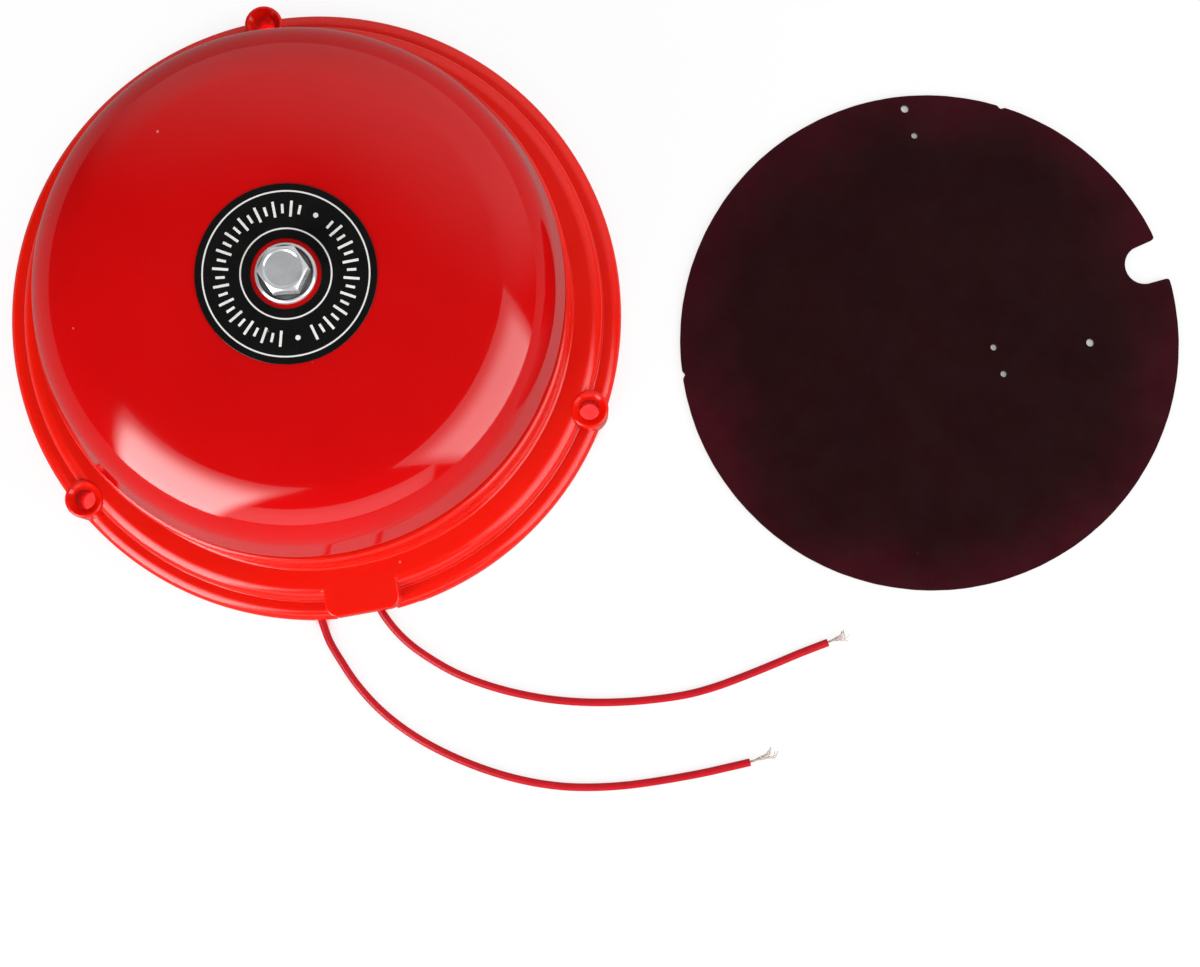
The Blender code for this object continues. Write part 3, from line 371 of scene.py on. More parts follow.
def rounded(corners, closed=True, steps=ARC_STEPS):
    """Points of an outline of (x, y, rounding) corners, with each rounding made an arc."""
    made = []
    count = len(corners)
    for i, (x, y, radius) in enumerate(corners):
        if radius == 0.0 or (not closed and i in (0, count - 1)):
            made.append((x, y))
            continue
        here = Vector((x, y))
        back = (Vector(corners[i - 1][:2]) - here).normalized()
        ahead = (Vector(corners[(i + 1) % count][:2]) - here).normalized()
        half = back.angle(ahead) / 2
        centre = here + (back + ahead).normalized() * radius / math.sin(half)
        reach = radius / math.tan(half)
        first = here + back * reach - centre
        last = here + ahead * reach - centre
        start = math.atan2(first.y, first.x)
        sweep = (math.atan2(last.y, last.x) - start + math.pi) % (2 * math.pi) - math.pi
        made += arc(centre, radius, start, start + sweep, steps)
    return made


def smooth_route(route, spacing):
    """Points about one spacing apart on a smooth curve through the route's own points."""
    points = [Vector(p) for p in route]
    points = [2 * points[0] - points[1], *points, 2 * points[-1] - points[-2]]
    made = []
    for before, start, end, after in zip(points, points[1:], points[2:], points[3:]):
        steps = max(1, round((end - start).length / spacing))
        for i in range(steps):
            t = i / steps
            bend = 2 * before - 5 * start + 4 * end - after
            twist = 3 * (start - end) + after - before
            made.append(start + 0.5 * t * ((end - before) + t * (bend + t * twist)))
    made.append(points[-2])
    return made


def route_length(points):
    return sum((end - start).length for start, end in zip(points, points[1:]))


def polar(radius, angle, z=0.0):
    return Vector((radius * math.cos(angle), radius * math.sin(angle), z))


def mesh_object(name, mesh):
    obj = bpy.data.objects.new(name, mesh)
    bpy.context.scene.collection.objects.link(obj)
    return obj


def finish_shape(name, shape):
    """Turns a bmesh into an object whose faces point outwards."""
    bmesh.ops.recalc_face_normals(shape, faces=shape.faces)
    mesh = bpy.data.meshes.new(name)
    shape.to_mesh(mesh)
    shape.free()
    return mesh_object(name, mesh)


def lathe(name, profile, steps, closed=True):
    """Turns a profile of (radius, height) points about Z. An open profile ends on the axis."""
    shape = bmesh.new()
    rows = []
    for radius, height in profile:
        count = 1 if radius < MERGE else steps
        rows.append([shape.verts.new(polar(radius, 2 * math.pi * i / steps, height)) for i in range(count)])
    pairs = list(zip(rows, rows[1:]))
    if closed:
        pairs.append((rows[-1], rows[0]))
    for upper, lower in pairs:
        for i in range(steps):
            j = i + 1
            above = (upper[i % len(upper)], upper[j % len(upper)])
            below = (lower[j % len(lower)], lower[i % len(lower)])
            corners = list(dict.fromkeys(above + below))
            if len(corners) > 2:
                shape.faces.new(corners)
    return finish_shape(name, shape)


def turned_ring(name, corners, steps=SMALL_STEPS):
    """Turns a closed section of (radius, height, rounding) corners about Z."""
    return lathe(name, rounded(corners), steps)


def turned(name, corners, steps=SMALL_STEPS):
    """Turns a solid about Z from corners that start and end on its axis."""
    return lathe(name, rounded(corners, closed=False), steps, closed=False)


def upright(across, along, deep):
    return across, along, deep


def slab(name, outline, start, end, place=upright, edge=0.0):
    """A flat outline given thickness from start to end; place turns (across, along, deep) into a point."""
    shape = bmesh.new()
    floor = shape.faces.new([shape.verts.new(place(u, v, start)) for u, v in outline])
    grown = bmesh.ops.extrude_face_region(shape, geom=[floor])
    raised = [item for item in grown["geom"] if isinstance(item, bmesh.types.BMVert)]
    bmesh.ops.translate(shape, verts=raised, vec=Vector(place(0, 0, end)) - Vector(place(0, 0, start)))
    if edge:
        rims = {rim for face in shape.faces if len(face.verts) == len(outline) for rim in face.edges}
        bmesh.ops.bevel(shape, geom=list(rims), offset=edge, segments=2, profile=0.5, affect="EDGES")
    return finish_shape(name, shape)


def round_box(name, start, end, edge, segments=3):
    shape = bmesh.new()
    bmesh.ops.create_cube(shape, size=1.0)
    for vertex in shape.verts:
        vertex.co = Vector([(a + b) / 2 + c * (b - a) for a, b, c in zip(start, end, vertex.co)])
    bmesh.ops.bevel(shape, geom=shape.edges[:], offset=edge, segments=segments, profile=0.5, affect="EDGES")
    return finish_shape(name, shape)


def drill(name, radius, start, end, steps=SMALL_STEPS):
    """A plain cylinder between two points, as a tool for holes."""
    start, end = Vector(start), Vector(end)
    shape = bmesh.new()
    bmesh.ops.create_cone(
        shape, cap_ends=True, segments=steps, radius1=radius, radius2=radius, depth=(end - start).length
    )
    aim = (end - start).to_track_quat("Z", "Y").to_matrix().to_4x4()
    bmesh.ops.transform(shape, matrix=Matrix.Translation((start + end) / 2) @ aim, verts=shape.verts)
    return finish_shape(name, shape)


def hole_along_x(radius, place, start, end):
    """A tool for a hole along X through a place, between two values of x."""
    return drill("hole", radius, (start, place.y, place.z), (end, place.y, place.z))


def hole_along_z(radius, place, start, end, steps=SMALL_STEPS):
    """A tool for a hole along Z through a place, between two values of z."""
    return drill("hole", radius, (place.x, place.y, start), (place.x, place.y, end), steps)


def shift(obj, matrix):
    """Moves an object's mesh, so that the object itself stays at the origin."""
    obj.data.transform(matrix)
    return obj


def along_x(obj, place, facing=1):
    """Lays a shape that was made about Z along the X axis at a place."""
    return shift(obj, Matrix.Translation(place) @ Matrix.Rotation(facing * math.pi / 2, 4, "Y"))


def settle(obj):
    """Applies an object's modifiers to its own mesh."""
    depsgraph = bpy.context.evaluated_depsgraph_get()
    mesh = bpy.data.meshes.new_from_object(obj.evaluated_get(depsgraph))
    obj.modifiers.clear()
    old = obj.data
    obj.data = mesh
    bpy.data.meshes.remove(old)
    return obj


def carve(obj, tools, operation="DIFFERENCE"):
    """One exact Boolean with a group of tools, which are then thrown away."""
    box = bpy.data.collections.new("tools")
    bpy.context.scene.collection.children.link(box)
    for tool in tools:
        box.objects.link(tool)
    modifier = obj.modifiers.new("carve", "BOOLEAN")
    modifier.operation = operation
    modifier.solver = "EXACT"
    modifier.operand_type = "COLLECTION"
    modifier.collection = box
    settle(obj)
    for tool in tools:
        bpy.data.objects.remove(tool)
    bpy.data.collections.remove(box)
    return obj


def soften(obj, width, segments=3, angle=ALL_EDGES):
    bevel = obj.modifiers.new("soften", "BEVEL")
    bevel.width = width
    bevel.segments = segments
    bevel.limit_method = "ANGLE"
    bevel.angle_limit = angle
    return settle(obj)


def hex_corner(flats):
    return flats / 2 / math.cos(math.pi / 6)


def hex_prism(name, flats, start, end, angle=0.0):
    outline = [tuple(polar(hex_corner(flats), angle + i * math.pi / 3).xy) for i in range(6)]
    return slab(name, outline, start, end)


# Node trees


def add_node(tree, kind, inputs=(), **settings):
    """A node with its settings; an input is a value, or a socket to link."""
    node = tree.nodes.new(kind)
    for name, value in settings.items():
        setattr(node, name, value)
    for name, value in dict(inputs).items():
        if isinstance(value, bpy.types.NodeSocket):
            tree.links.new(value, node.inputs[name])
        else:
            node.inputs[name].default_value = value
    return node


def math_node(tree, operation, *values):
    return add_node(tree, "ShaderNodeMath", dict(enumerate(values)), operation=operation).outputs[0]


def vector_node(tree, operation, *values, output=0):
    node = add_node(tree, "ShaderNodeVectorMath", dict(enumerate(values)), operation=operation)
    return node.outputs[output]


def scaled(tree, vector, factor):
    node = add_node(tree, "ShaderNodeVectorMath", {0: vector, "Scale": factor}, operation="SCALE")
    return node.outputs[0]


def combined(tree, *parts):
    return add_node(tree, "ShaderNodeCombineXYZ", dict(enumerate(parts))).outputs[0]


def ramp(tree, value, start, end, first=0.0, last=1.0, **settings):
    """A value taken from start and end to first and last, and held there beyond them."""
    limits = {"Value": value, "From Min": start, "From Max": end, "To Min": first, "To Max": last}
    return add_node(tree, "ShaderNodeMapRange", limits, **settings).outputs[0]


def new_group(name, kind, inputs, outputs):
    """A node group with its named sockets, and its input and output nodes."""
    tree = bpy.data.node_groups.new(name, kind)
    for in_out, sockets in (("INPUT", inputs), ("OUTPUT", outputs)):
        for label, socket_kind in sockets.items():
            tree.interface.new_socket(label, in_out=in_out, socket_type=f"NodeSocket{socket_kind}")
    return tree, tree.nodes.new("NodeGroupInput").outputs, tree.nodes.new("NodeGroupOutput").inputs


def new_tree(name, sizes):
    """A geometry tree that takes a source, its named sizes and a finish."""
    sockets = {"Geometry": "Geometry", **sizes, "Finish": "Material"}
    return new_group(name, "GeometryNodeTree", sockets, {"Geometry": "Geometry"})


def swept(tree, curve, radius, sides):
    """A round section along a curve, closed at its ends."""
    section = add_node(tree, "GeometryNodeCurvePrimitiveCircle", {"Radius": radius, "Resolution": sides})
    inputs = {"Curve": curve, "Profile Curve": section.outputs[0], "Fill Caps": True}
    return add_node(tree, "GeometryNodeCurveToMesh", inputs).outputs[0]


def end_tree(tree, ends, geometry, material):
    """Every geometry tree ends in real, smooth geometry with its finish set."""
    real = add_node(tree, "GeometryNodeRealizeInstances", {"Geometry": geometry})
    smooth = add_node(tree, "GeometryNodeSetShadeSmooth", {"Geometry": real.outputs[0]})
    inputs = {"Geometry": smooth.outputs[0], "Material": material}
    painted = add_node(tree, "GeometryNodeSetMaterial", inputs)
    tree.links.new(painted.outputs[0], ends["Geometry"])


def wire_tree():
    """A round wire along the source's edges."""
    tree, given, ends = new_tree("wire_along_path", {"Radius": "Float", "Sides": "Int"})
    path = add_node(tree, "GeometryNodeMeshToCurve", {"Mesh": given["Geometry"]})
    wire = swept(tree, path.outputs[0], given["Radius"], given["Sides"])
    end_tree(tree, ends, wire, given["Finish"])
    return tree


def strand_tree():
    """A twisted bundle of bare wires along the source's edges, which spread towards the tip."""
    tree, given, ends = new_tree("strand_bundle", {
        "Wires": "Int", "Wire radius": "Float", "Lay radius": "Float", "Splay": "Float", "Twist": "Float",
        "Seed": "Int",
    })
    path = add_node(tree, "GeometryNodeMeshToCurve", {"Mesh": given["Geometry"]})
    fine = add_node(tree, "GeometryNodeResampleCurve", {"Curve": path.outputs[0], "Count": STRAND_POINTS})
    copies = add_node(
        tree, "GeometryNodeDuplicateElements",
        {"Geometry": fine.outputs[0], "Amount": given["Wires"]}, domain="SPLINE",
    )
    number = copies.outputs["Duplicate Index"]
    along = add_node(tree, "GeometryNodeSplineParameter").outputs["Factor"]

    def chance(start, end, shift_seed):
        seed = math_node(tree, "ADD", given["Seed"], float(shift_seed))
        node = add_node(
            tree, "FunctionNodeRandomValue",
            {RANDOM_LOW: start, RANDOM_HIGH: end, RANDOM_ID: number, RANDOM_SEED: seed},
        )
        return node.outputs[RANDOM_FLOAT]

    golden = math.pi * (3 - math.sqrt(5))
    angle = math_node(tree, "MULTIPLY", number, golden)
    angle = math_node(tree, "ADD", angle, math_node(tree, "MULTIPLY", along, given["Twist"]))
    spread = math_node(tree, "POWER", along, STRAND_SPREAD)
    reach = math_node(tree, "MULTIPLY", given["Splay"], chance(STRAND_LEAST_SPLAY, 1.0, 1))
    fraction = math_node(tree, "SQRT", math_node(tree, "DIVIDE", number, given["Wires"]))
    radius = math_node(tree, "MULTIPLY", given["Lay radius"], fraction)
    radius = math_node(tree, "ADD", radius, math_node(tree, "MULTIPLY", reach, spread))
    tangent = add_node(tree, "GeometryNodeInputTangent").outputs[0]
    normal = add_node(tree, "GeometryNodeInputNormal").outputs[0]
    side = vector_node(tree, "CROSS_PRODUCT", tangent, normal)
    across = scaled(tree, normal, math_node(tree, "MULTIPLY", radius, math_node(tree, "COSINE", angle)))
    upward = scaled(tree, side, math_node(tree, "MULTIPLY", radius, math_node(tree, "SINE", angle)))
    trim = math_node(tree, "MULTIPLY", spread, chance(-STRAND_TRIM, 0.0, 2))
    offset = vector_node(tree, "ADD", across, upward)
    offset = vector_node(tree, "ADD", offset, scaled(tree, tangent, trim))
    moved = add_node(tree, "GeometryNodeSetPosition", {"Geometry": copies.outputs[0], "Offset": offset})
    place = add_node(tree, "GeometryNodeInputPosition").outputs[0]
    x, y, z = add_node(tree, "ShaderNodeSeparateXYZ", {0: place}).outputs
    rest = combined(tree, x, y, math_node(tree, "MAXIMUM", z, given["Wire radius"]))
    laid = add_node(tree, "GeometryNodeSetPosition", {"Geometry": moved.outputs[0], "Position": rest})
    wires = swept(tree, laid.outputs[0], given["Wire radius"], STRAND_SIDES)
    end_tree(tree, ends, wires, given["Finish"])
    return tree


def fastener_tree():
    """The same fastener at each of the source's points, turned by chance about its own axis."""
    tree, given, ends = new_tree("set_fasteners", {"Fastener": "Object", "Axis": "Vector", "Seed": "Int"})
    model = add_node(tree, "GeometryNodeObjectInfo", {"Object": given["Fastener"]})
    chance = add_node(
        tree, "FunctionNodeRandomValue",
        {RANDOM_LOW: 0.0, RANDOM_HIGH: math.pi, RANDOM_SEED: given["Seed"]},
    )
    spin = scaled(tree, given["Axis"], chance.outputs[RANDOM_FLOAT])
    placed = add_node(
        tree, "GeometryNodeInstanceOnPoints",
        {"Points": given["Geometry"], "Instance": model.outputs["Geometry"], "Rotation": spin},
    )
    end_tree(tree, ends, placed.outputs[0], given["Finish"])
    return tree


def mark_tree():
    """A ring of long and short printed marks about Z, parted by two dots."""
    tree, given, ends = new_tree("ring_of_marks", {
        "Count": "Int", "Circle": "Float", "Length": "Float", "Width": "Float", "Thickness": "Float",
        "Height": "Float", "First dot": "Int", "Second dot": "Int",
    })
    ring = add_node(tree, "GeometryNodeMeshCircle", {"Vertices": given["Count"], "Radius": given["Circle"]})
    number = add_node(tree, "GeometryNodeInputIndex").outputs[0]
    angle = math_node(tree, "DIVIDE", math_node(tree, "MULTIPLY", number, 2 * math.pi), given["Count"])
    facing = combined(tree, 0.0, 0.0, angle)
    dotted, near_dot = 0.0, 0.0
    for label in ("First dot", "Second dot"):
        dotted = math_node(tree, "ADD", math_node(tree, "COMPARE", number, given[label], 0.5), dotted)
        near_dot = math_node(tree, "ADD", math_node(tree, "COMPARE", number, given[label], 1.5), near_dot)
    barred = math_node(tree, "SUBTRACT", 1.0, near_dot)
    short = math_node(tree, "MODULO", number, 2.0)
    stretch = math_node(tree, "SUBTRACT", 1.0, math_node(tree, "MULTIPLY", short, SHORT_MARK_CUT))
    size = combined(tree, stretch, 1.0, 1.0)
    bar_size = combined(tree, given["Length"], given["Width"], given["Thickness"])
    bar = add_node(tree, "GeometryNodeMeshCube", {"Size": bar_size})
    bars = add_node(
        tree, "GeometryNodeInstanceOnPoints",
        {
            "Points": ring.outputs[0], "Selection": barred, "Instance": bar.outputs[0],
            "Rotation": facing, "Scale": size,
        },
    )
    dot = add_node(
        tree, "GeometryNodeMeshCylinder",
        {"Vertices": DOT_SIDES, "Radius": given["Width"], "Depth": given["Thickness"]},
    )
    dots = add_node(
        tree, "GeometryNodeInstanceOnPoints",
        {"Points": ring.outputs[0], "Selection": dotted, "Instance": dot.outputs[0]},
    )
    joined = add_node(tree, "GeometryNodeJoinGeometry", {"Geometry": bars.outputs[0]})
    tree.links.new(dots.outputs[0], joined.inputs["Geometry"])
    lift = combined(tree, 0.0, 0.0, given["Height"])
    raised = add_node(tree, "GeometryNodeTransform", {"Geometry": joined.outputs[0], "Translation": lift})
    end_tree(tree, ends, raised.outputs[0], given["Finish"])
    return tree


def points_object(name, points, joined=True):
    """A source for a geometry tree: points, joined by edges where they are a path."""
    mesh = bpy.data.meshes.new(name)
    edges = [(i, i + 1) for i in range(len(points) - 1)] if joined else []
    mesh.from_pydata([tuple(p) for p in points], edges, [])
    return mesh_object(name, mesh)


def grow(source, name, finish, **values):
    """Runs a geometry tree on a source object and leaves its result there as a plain mesh."""
    tree = group(name)
    values["finish"] = finish_of(finish)
    modifier = source.modifiers.new(name, "NODES")
    modifier.node_group = tree
    for item in tree.interface.items_tree:
        key = item.name.replace(" ", "_").lower()
        if item.in_out == "INPUT" and key in values:
            modifier[item.identifier] = values[key]
    return settle(source)


# Finishes


def own_place(tree):
    """Places on the piece in its own coordinates."""
    return add_node(tree, "ShaderNodeTexCoord").outputs["Object"]


def variation_group():
    """A value that drifts over the surface between two limits."""
    tree, given, ends = new_group(
        "surface_variation", "ShaderNodeTree", {"Scale": "Float", "Low": "Float", "High": "Float"},
        {"Value": "Float"},
    )
    inputs = {"Vector": own_place(tree), "Scale": given["Scale"], "Detail": 4.0, "Roughness": 0.6}
    noise = add_node(tree, "ShaderNodeTexNoise", inputs).outputs[0]
    tree.links.new(ramp(tree, noise, *DRIFT_LIMITS, given["Low"], given["High"]), ends["Value"])
    return tree


def grain_group():
    """Fine lines, long across the directions that are stretched least."""
    tree, given, ends = new_group(
        "brushed_grain", "ShaderNodeTree", {"Stretch": "Vector", "Low": "Float", "High": "Float"},
        {"Value": "Float"},
    )
    drawn = vector_node(tree, "MULTIPLY", own_place(tree), given["Stretch"])
    noise = add_node(tree, "ShaderNodeTexNoise", {"Vector": drawn, "Scale": 1.0, "Detail": 3.0}).outputs[0]
    tree.links.new(ramp(tree, noise, *GRAIN_LIMITS, given["Low"], given["High"]), ends["Value"])
    return tree


def speck_group():
    """A mask of sparse specks of dust of unlike size."""
    tree, given, ends = new_group(
        "dust_specks", "ShaderNodeTree", {"Scale": "Float", "Amount": "Float"}, {"Mask": "Float"}
    )
    cells = add_node(tree, "ShaderNodeTexVoronoi", {"Vector": own_place(tree), "Scale": given["Scale"]})
    chance = add_node(tree, "ShaderNodeSeparateColor", {0: cells.outputs["Color"]}).outputs[0]
    rare = math_node(tree, "POWER", chance, SPECK_RARITY)
    size = math_node(tree, "MULTIPLY", rare, given["Amount"])
    mask = math_node(tree, "LESS_THAN", cells.outputs["Distance"], size)
    tree.links.new(mask, ends["Mask"])
    return tree


def polish_group():
    """A mask of the outer edges, which handling polishes or bares."""
    tree, given, ends = new_group(
        "edge_polish", "ShaderNodeTree", {"Start": "Float", "End": "Float"}, {"Mask": "Float"}
    )
    ridge = add_node(tree, "ShaderNodeNewGeometry").outputs["Pointiness"]
    tree.links.new(ramp(tree, ridge, given["Start"], given["End"]), ends["Mask"])
    return tree


GROUPS = {
    "surface_variation": variation_group,
    "brushed_grain": grain_group,
    "dust_specks": speck_group,
    "edge_polish": polish_group,
    "wire_along_path": wire_tree,
    "strand_bundle": strand_tree,
    "set_fasteners": fastener_tree,
    "ring_of_marks": mark_tree,
}


def group(name):
    """A node group by name, built the first time it is asked for."""
    return bpy.data.node_groups.get(name) or GROUPS[name]()


def effect(tree, name, **values):
    node = tree.nodes.new("ShaderNodeGroup")
    node.node_tree = group(name)
    for label, value in values.items():
        node.inputs[label.capitalize()].default_value = value
    return node.outputs[0]


def new_material(name):
    material = bpy.data.materials.new(f"bell_{name}")
    material.use_nodes = True
    return material, material.node_tree, material.node_tree.nodes["Principled BSDF"]


def shade(colour_value, factor):
    return (*[min(1.0, part * factor) for part in colour_value], 1.0)


def mixed(tree, factor, first, second):
    node = add_node(
        tree, "ShaderNodeMix", {MIX_FACTOR: factor, MIX_A: first, MIX_B: second}, data_type="RGBA"
    )
    return node.outputs[MIX_RESULT]


def bumped(tree, shader, height, depth):
    bump = add_node(tree, "ShaderNodeBump", {"Height": height, "Distance": depth})
    tree.links.new(bump.outputs[0], shader.inputs["Normal"])


def openness(tree, reach, **settings):
    """How much of the space within reach is open."""
    inputs = {"Distance": reach}
    node = add_node(tree, "ShaderNodeAmbientOcclusion", inputs, samples=OCCLUSION_SAMPLES, **settings)
    return node.outputs["AO"]


def varied(name, tone, rough, scale, specular=0.5, drift=0.12, bump=(600.0, 0.00002)):
    """A finish whose colour and gloss drift a little, with a fine grain."""
    material, tree, shader = new_material(name)
    drifting = effect(tree, "surface_variation", scale=scale, low=0.0, high=1.0)
    toned = mixed(tree, drifting, shade(tone, 1.0 - drift), shade(tone, 1.0 + drift / 2))
    tree.links.new(toned, shader.inputs["Base Color"])
    gloss = effect(tree, "surface_variation", scale=scale * GLOSS_FINER, low=rough[0], high=rough[1])
    tree.links.new(gloss, shader.inputs["Roughness"])
    shader.inputs["Specular IOR Level"].default_value = specular
    bumped(tree, shader, effect(tree, "surface_variation", scale=bump[0], low=0.0, high=1.0), bump[1])
    return material, tree, shader, toned


def brushed_metal(name, tone, rough, stretch, edges=0.35, metallic=1.0, painted_nook_shade=0.0):
    """Metal with drawn or turned lines, a little brighter on its edges, with painted shade in its nooks."""
    material, tree, shader = new_material(name)
    drifting = effect(tree, "surface_variation", scale=METAL_DRIFT, low=0.0, high=1.0)
    body = mixed(tree, drifting, shade(tone, METAL_DULL), shade(tone, METAL_BRIGHT))
    edge = effect(tree, "edge_polish", start=EDGE_LIMITS[0], end=EDGE_LIMITS[1])
    bright = math_node(tree, "MULTIPLY", edge, edges)
    toned = mixed(tree, bright, body, shade(tone, METAL_EDGE))
    # Painted shade: the colour darkens where little space within reach is open
    if painted_nook_shade:
        open_air = openness(tree, NOOK_SHADE_REACH, only_local=True)
        nook_shade_mask = ramp(tree, open_air, *NOOK_SHADE_LIMITS, 0.0, painted_nook_shade)
        toned = mixed(tree, nook_shade_mask, toned, shade(tone, METAL_NOOK_SHADE))
    tree.links.new(toned, shader.inputs["Base Color"])
    gloss = effect(tree, "brushed_grain", stretch=stretch, low=rough[0], high=rough[1])
    tree.links.new(gloss, shader.inputs["Roughness"])
    shader.inputs["Metallic"].default_value = metallic
    lines = effect(tree, "brushed_grain", stretch=stretch, low=0.0, high=1.0)
    bumped(tree, shader, lines, LINE_DEPTH)
    return material


def radius_from(tree, centre):
    """Distance from a vertical line, over the surface."""
    away = vector_node(tree, "SUBTRACT", own_place(tree), centre)
    flat = vector_node(tree, "MULTIPLY", away, (1.0, 1.0, 0.0))
    return vector_node(tree, "LENGTH", flat, output=1)


def dusted(tree, shader, toned, scale, amount, strength, dust):
    """Gives the shader its colour, with sparse specks of dust over it."""
    specks = effect(tree, "dust_specks", scale=scale, amount=amount)
    dusty = mixed(tree, math_node(tree, "MULTIPLY", specks, strength), toned, (*dust, 1.0))
    tree.links.new(dusty, shader.inputs["Base Color"])


def moulded_plastic(tone):
    material, tree, shader, toned = varied(
        "moulded_plastic", tone, rough=(0.12, 0.21), scale=45.0, drift=0.05, bump=(420.0, 0.000012)
    )
    dusted(tree, shader, toned, scale=240.0, amount=0.075, strength=0.25, dust=(0.85, 0.40, 0.34))
    shader.inputs["Subsurface Weight"].default_value = 0.35
    shader.inputs["Subsurface Radius"].default_value = (1.0, 0.12, 0.05)
    shader.inputs["Subsurface Scale"].default_value = 0.003
    return material


def gloss_enamel(tone):
    material, tree, shader, toned = varied(
        "gloss_enamel", tone, rough=(0.05, 0.10), scale=30.0, drift=0.06, bump=(320.0, 0.0000015)
    )
    dusted(tree, shader, toned, scale=160.0, amount=0.055, strength=0.35, dust=(0.75, 0.45, 0.42))
    shader.inputs["IOR"].default_value = 1.6
    inputs = {"Vector": own_place(tree), "Scale": WAVE_SCALE, "Detail": 1.0}
    pressed = add_node(tree, "ShaderNodeTexNoise", inputs)
    waves = add_node(tree, "ShaderNodeBump", {"Height": pressed.outputs[0], "Distance": WAVE_DEPTH})
    grain = shader.inputs["Normal"].links[0].from_node
    tree.links.new(waves.outputs[0], grain.inputs["Normal"])
    return material


def label_film(settings):
    material, tree, shader, toned = varied(
        "label_film", settings.film, rough=(0.16, 0.24), scale=120.0, drift=0.3, bump=(900.0, 0.000003)
    )
    away = radius_from(tree, (0.0, 0.0, 0.0))
    printed = 0.0
    for line in (settings.outer_line, settings.inner_line):
        off = math_node(tree, "ABSOLUTE", math_node(tree, "SUBTRACT", away, line))
        inside = ramp(tree, off, *[settings.line_width * limit for limit in LINE_LIMITS])
        printed = math_node(tree, "ADD", inside, printed)
    inked = mixed(tree, printed, toned, shade(settings.ink, 1.0))
    dusted(tree, shader, inked, scale=420.0, amount=0.13, strength=0.12, dust=(0.6, 0.6, 0.58))
    return material


def insulating_board(settings):
    material, tree, shader, toned = varied(
        "insulating_board", settings.colour, rough=(0.22, 0.34), scale=70.0, specular=0.13, drift=0.14,
        bump=(500.0, 0.000006),
    )
    centre = middle("back_plate")
    rim = high("back_plate").x - centre.x
    away = radius_from(tree, (centre.x, centre.y, 0.0))
    blotch = effect(tree, "surface_variation", scale=TINT_SCALE, low=-TINT_BLOTCH, high=TINT_BLOTCH)
    uneven = math_node(tree, "ADD", away, blotch)
    near_rim = ramp(tree, uneven, *[rim * limit for limit in TINT_LIMITS])
    reddish = math_node(tree, "POWER", near_rim, TINT_RISE)
    tinted = mixed(tree, reddish, toned, shade(settings.edge_colour, 1.0))
    dusted(tree, shader, tinted, scale=170.0, amount=0.075, strength=0.10, dust=(0.5, 0.45, 0.44))
    return material


def wound_copper(tone):
    """Enamelled wire, laid in turns along X."""
    material, tree, shader = new_material("wound_copper")
    inputs = {"Vector": own_place(tree), "Scale": TURN_SCALE}
    turns = add_node(tree, "ShaderNodeTexWave", inputs, bands_direction="X")
    toned = mixed(tree, turns.outputs["Fac"], shade(tone, 0.35), shade(tone, 1.1))
    tree.links.new(toned, shader.inputs["Base Color"])
    shader.inputs["Metallic"].default_value = 1.0
    gloss = effect(tree, "surface_variation", scale=300.0, low=0.22, high=0.34)
    tree.links.new(gloss, shader.inputs["Roughness"])
    bumped(tree, shader, turns.outputs["Fac"], TURN_DEPTH)
    return material


def finish_of(name):
    """A finish by name, made the first time it is asked for."""
    made = bpy.data.materials.get(f"bell_{name}")
    if made:
        return made
    scene = bpy.context.scene
    works, leads = scene.bell_works, scene.bell_leads
    # Colour, limits of the roughness and stretch of the lines; then polish of the edges, metal, and painted
    # shade in the nooks
    metals = {
        "bright_plating": (scene.bell_bolt.colour, (0.14, 0.26), (900.0, 900.0, 200.0), 0.2, 0.60, 0.9),
        "zinc_plating": (works.zinc, (0.26, 0.42), (700.0, 700.0, 2500.0)),
        "chassis_steel": (works.steel, (0.30, 0.48), (80.0, 3000.0, 3000.0)),
        "spring_steel": (works.spring, (0.18, 0.32), (4000.0, 4000.0, 90.0)),
        "soft_iron": (works.iron, (0.34, 0.52), (3000.0, 300.0, 300.0)),
        "turned_brass": (works.brass, (0.20, 0.34), (4500.0, 60.0, 60.0)),
        "tinned_wire": (leads.wire, (0.18, 0.30), (900.0, 900.0, 900.0), 0.2, 0.5),
    }
    # Colour, limits of the roughness, scale, specular level and drift of the colour
    plain = {
        "label_ink": (scene.bell_label.ink, (0.40, 0.55), 300.0, 0.5, 0.15),
        "red_fibre": (works.fibre, (0.70, 0.88), 420.0, 0.5, 0.35),
        "bobbin_nylon": (works.nylon, (0.38, 0.52), 160.0, 0.5, 0.10),
        "coil_tape": (works.tape_colour, (0.28, 0.45), 190.0, 0.5, 0.22),
        "sleeving": (works.sleeve, (0.48, 0.66), 380.0, 0.5, 0.3),
        "lead_insulation": (leads.insulation, (0.30, 0.42), 260.0, 0.25, 0.10),
    }
    makers = {
        "moulded_plastic": (moulded_plastic, scene.bell_housing.colour),
        "gloss_enamel": (gloss_enamel, scene.bell_gong.colour),
        "label_film": (label_film, scene.bell_label),
        "wound_copper": (wound_copper, works.copper),
        "insulating_board": (insulating_board, scene.bell_plate),
    }
    if name in metals:
        return brushed_metal(name, *metals[name])
    if name in plain:
        return varied(name, *plain[name])[0]
    maker, source = makers[name]
    return maker(source)


def check_closed(obj):
    """Stops the script where a piece is empty or has an open edge."""
    shape = bmesh.new()
    shape.from_mesh(obj.data)
    broken = [edge for edge in shape.edges if len(edge.link_faces) != 2]
    faces = len(shape.faces)
    shape.free()
    if broken or not faces:
        raise RuntimeError(f"{obj.name} isn't closed: {faces} faces, {len(broken)} open edges")


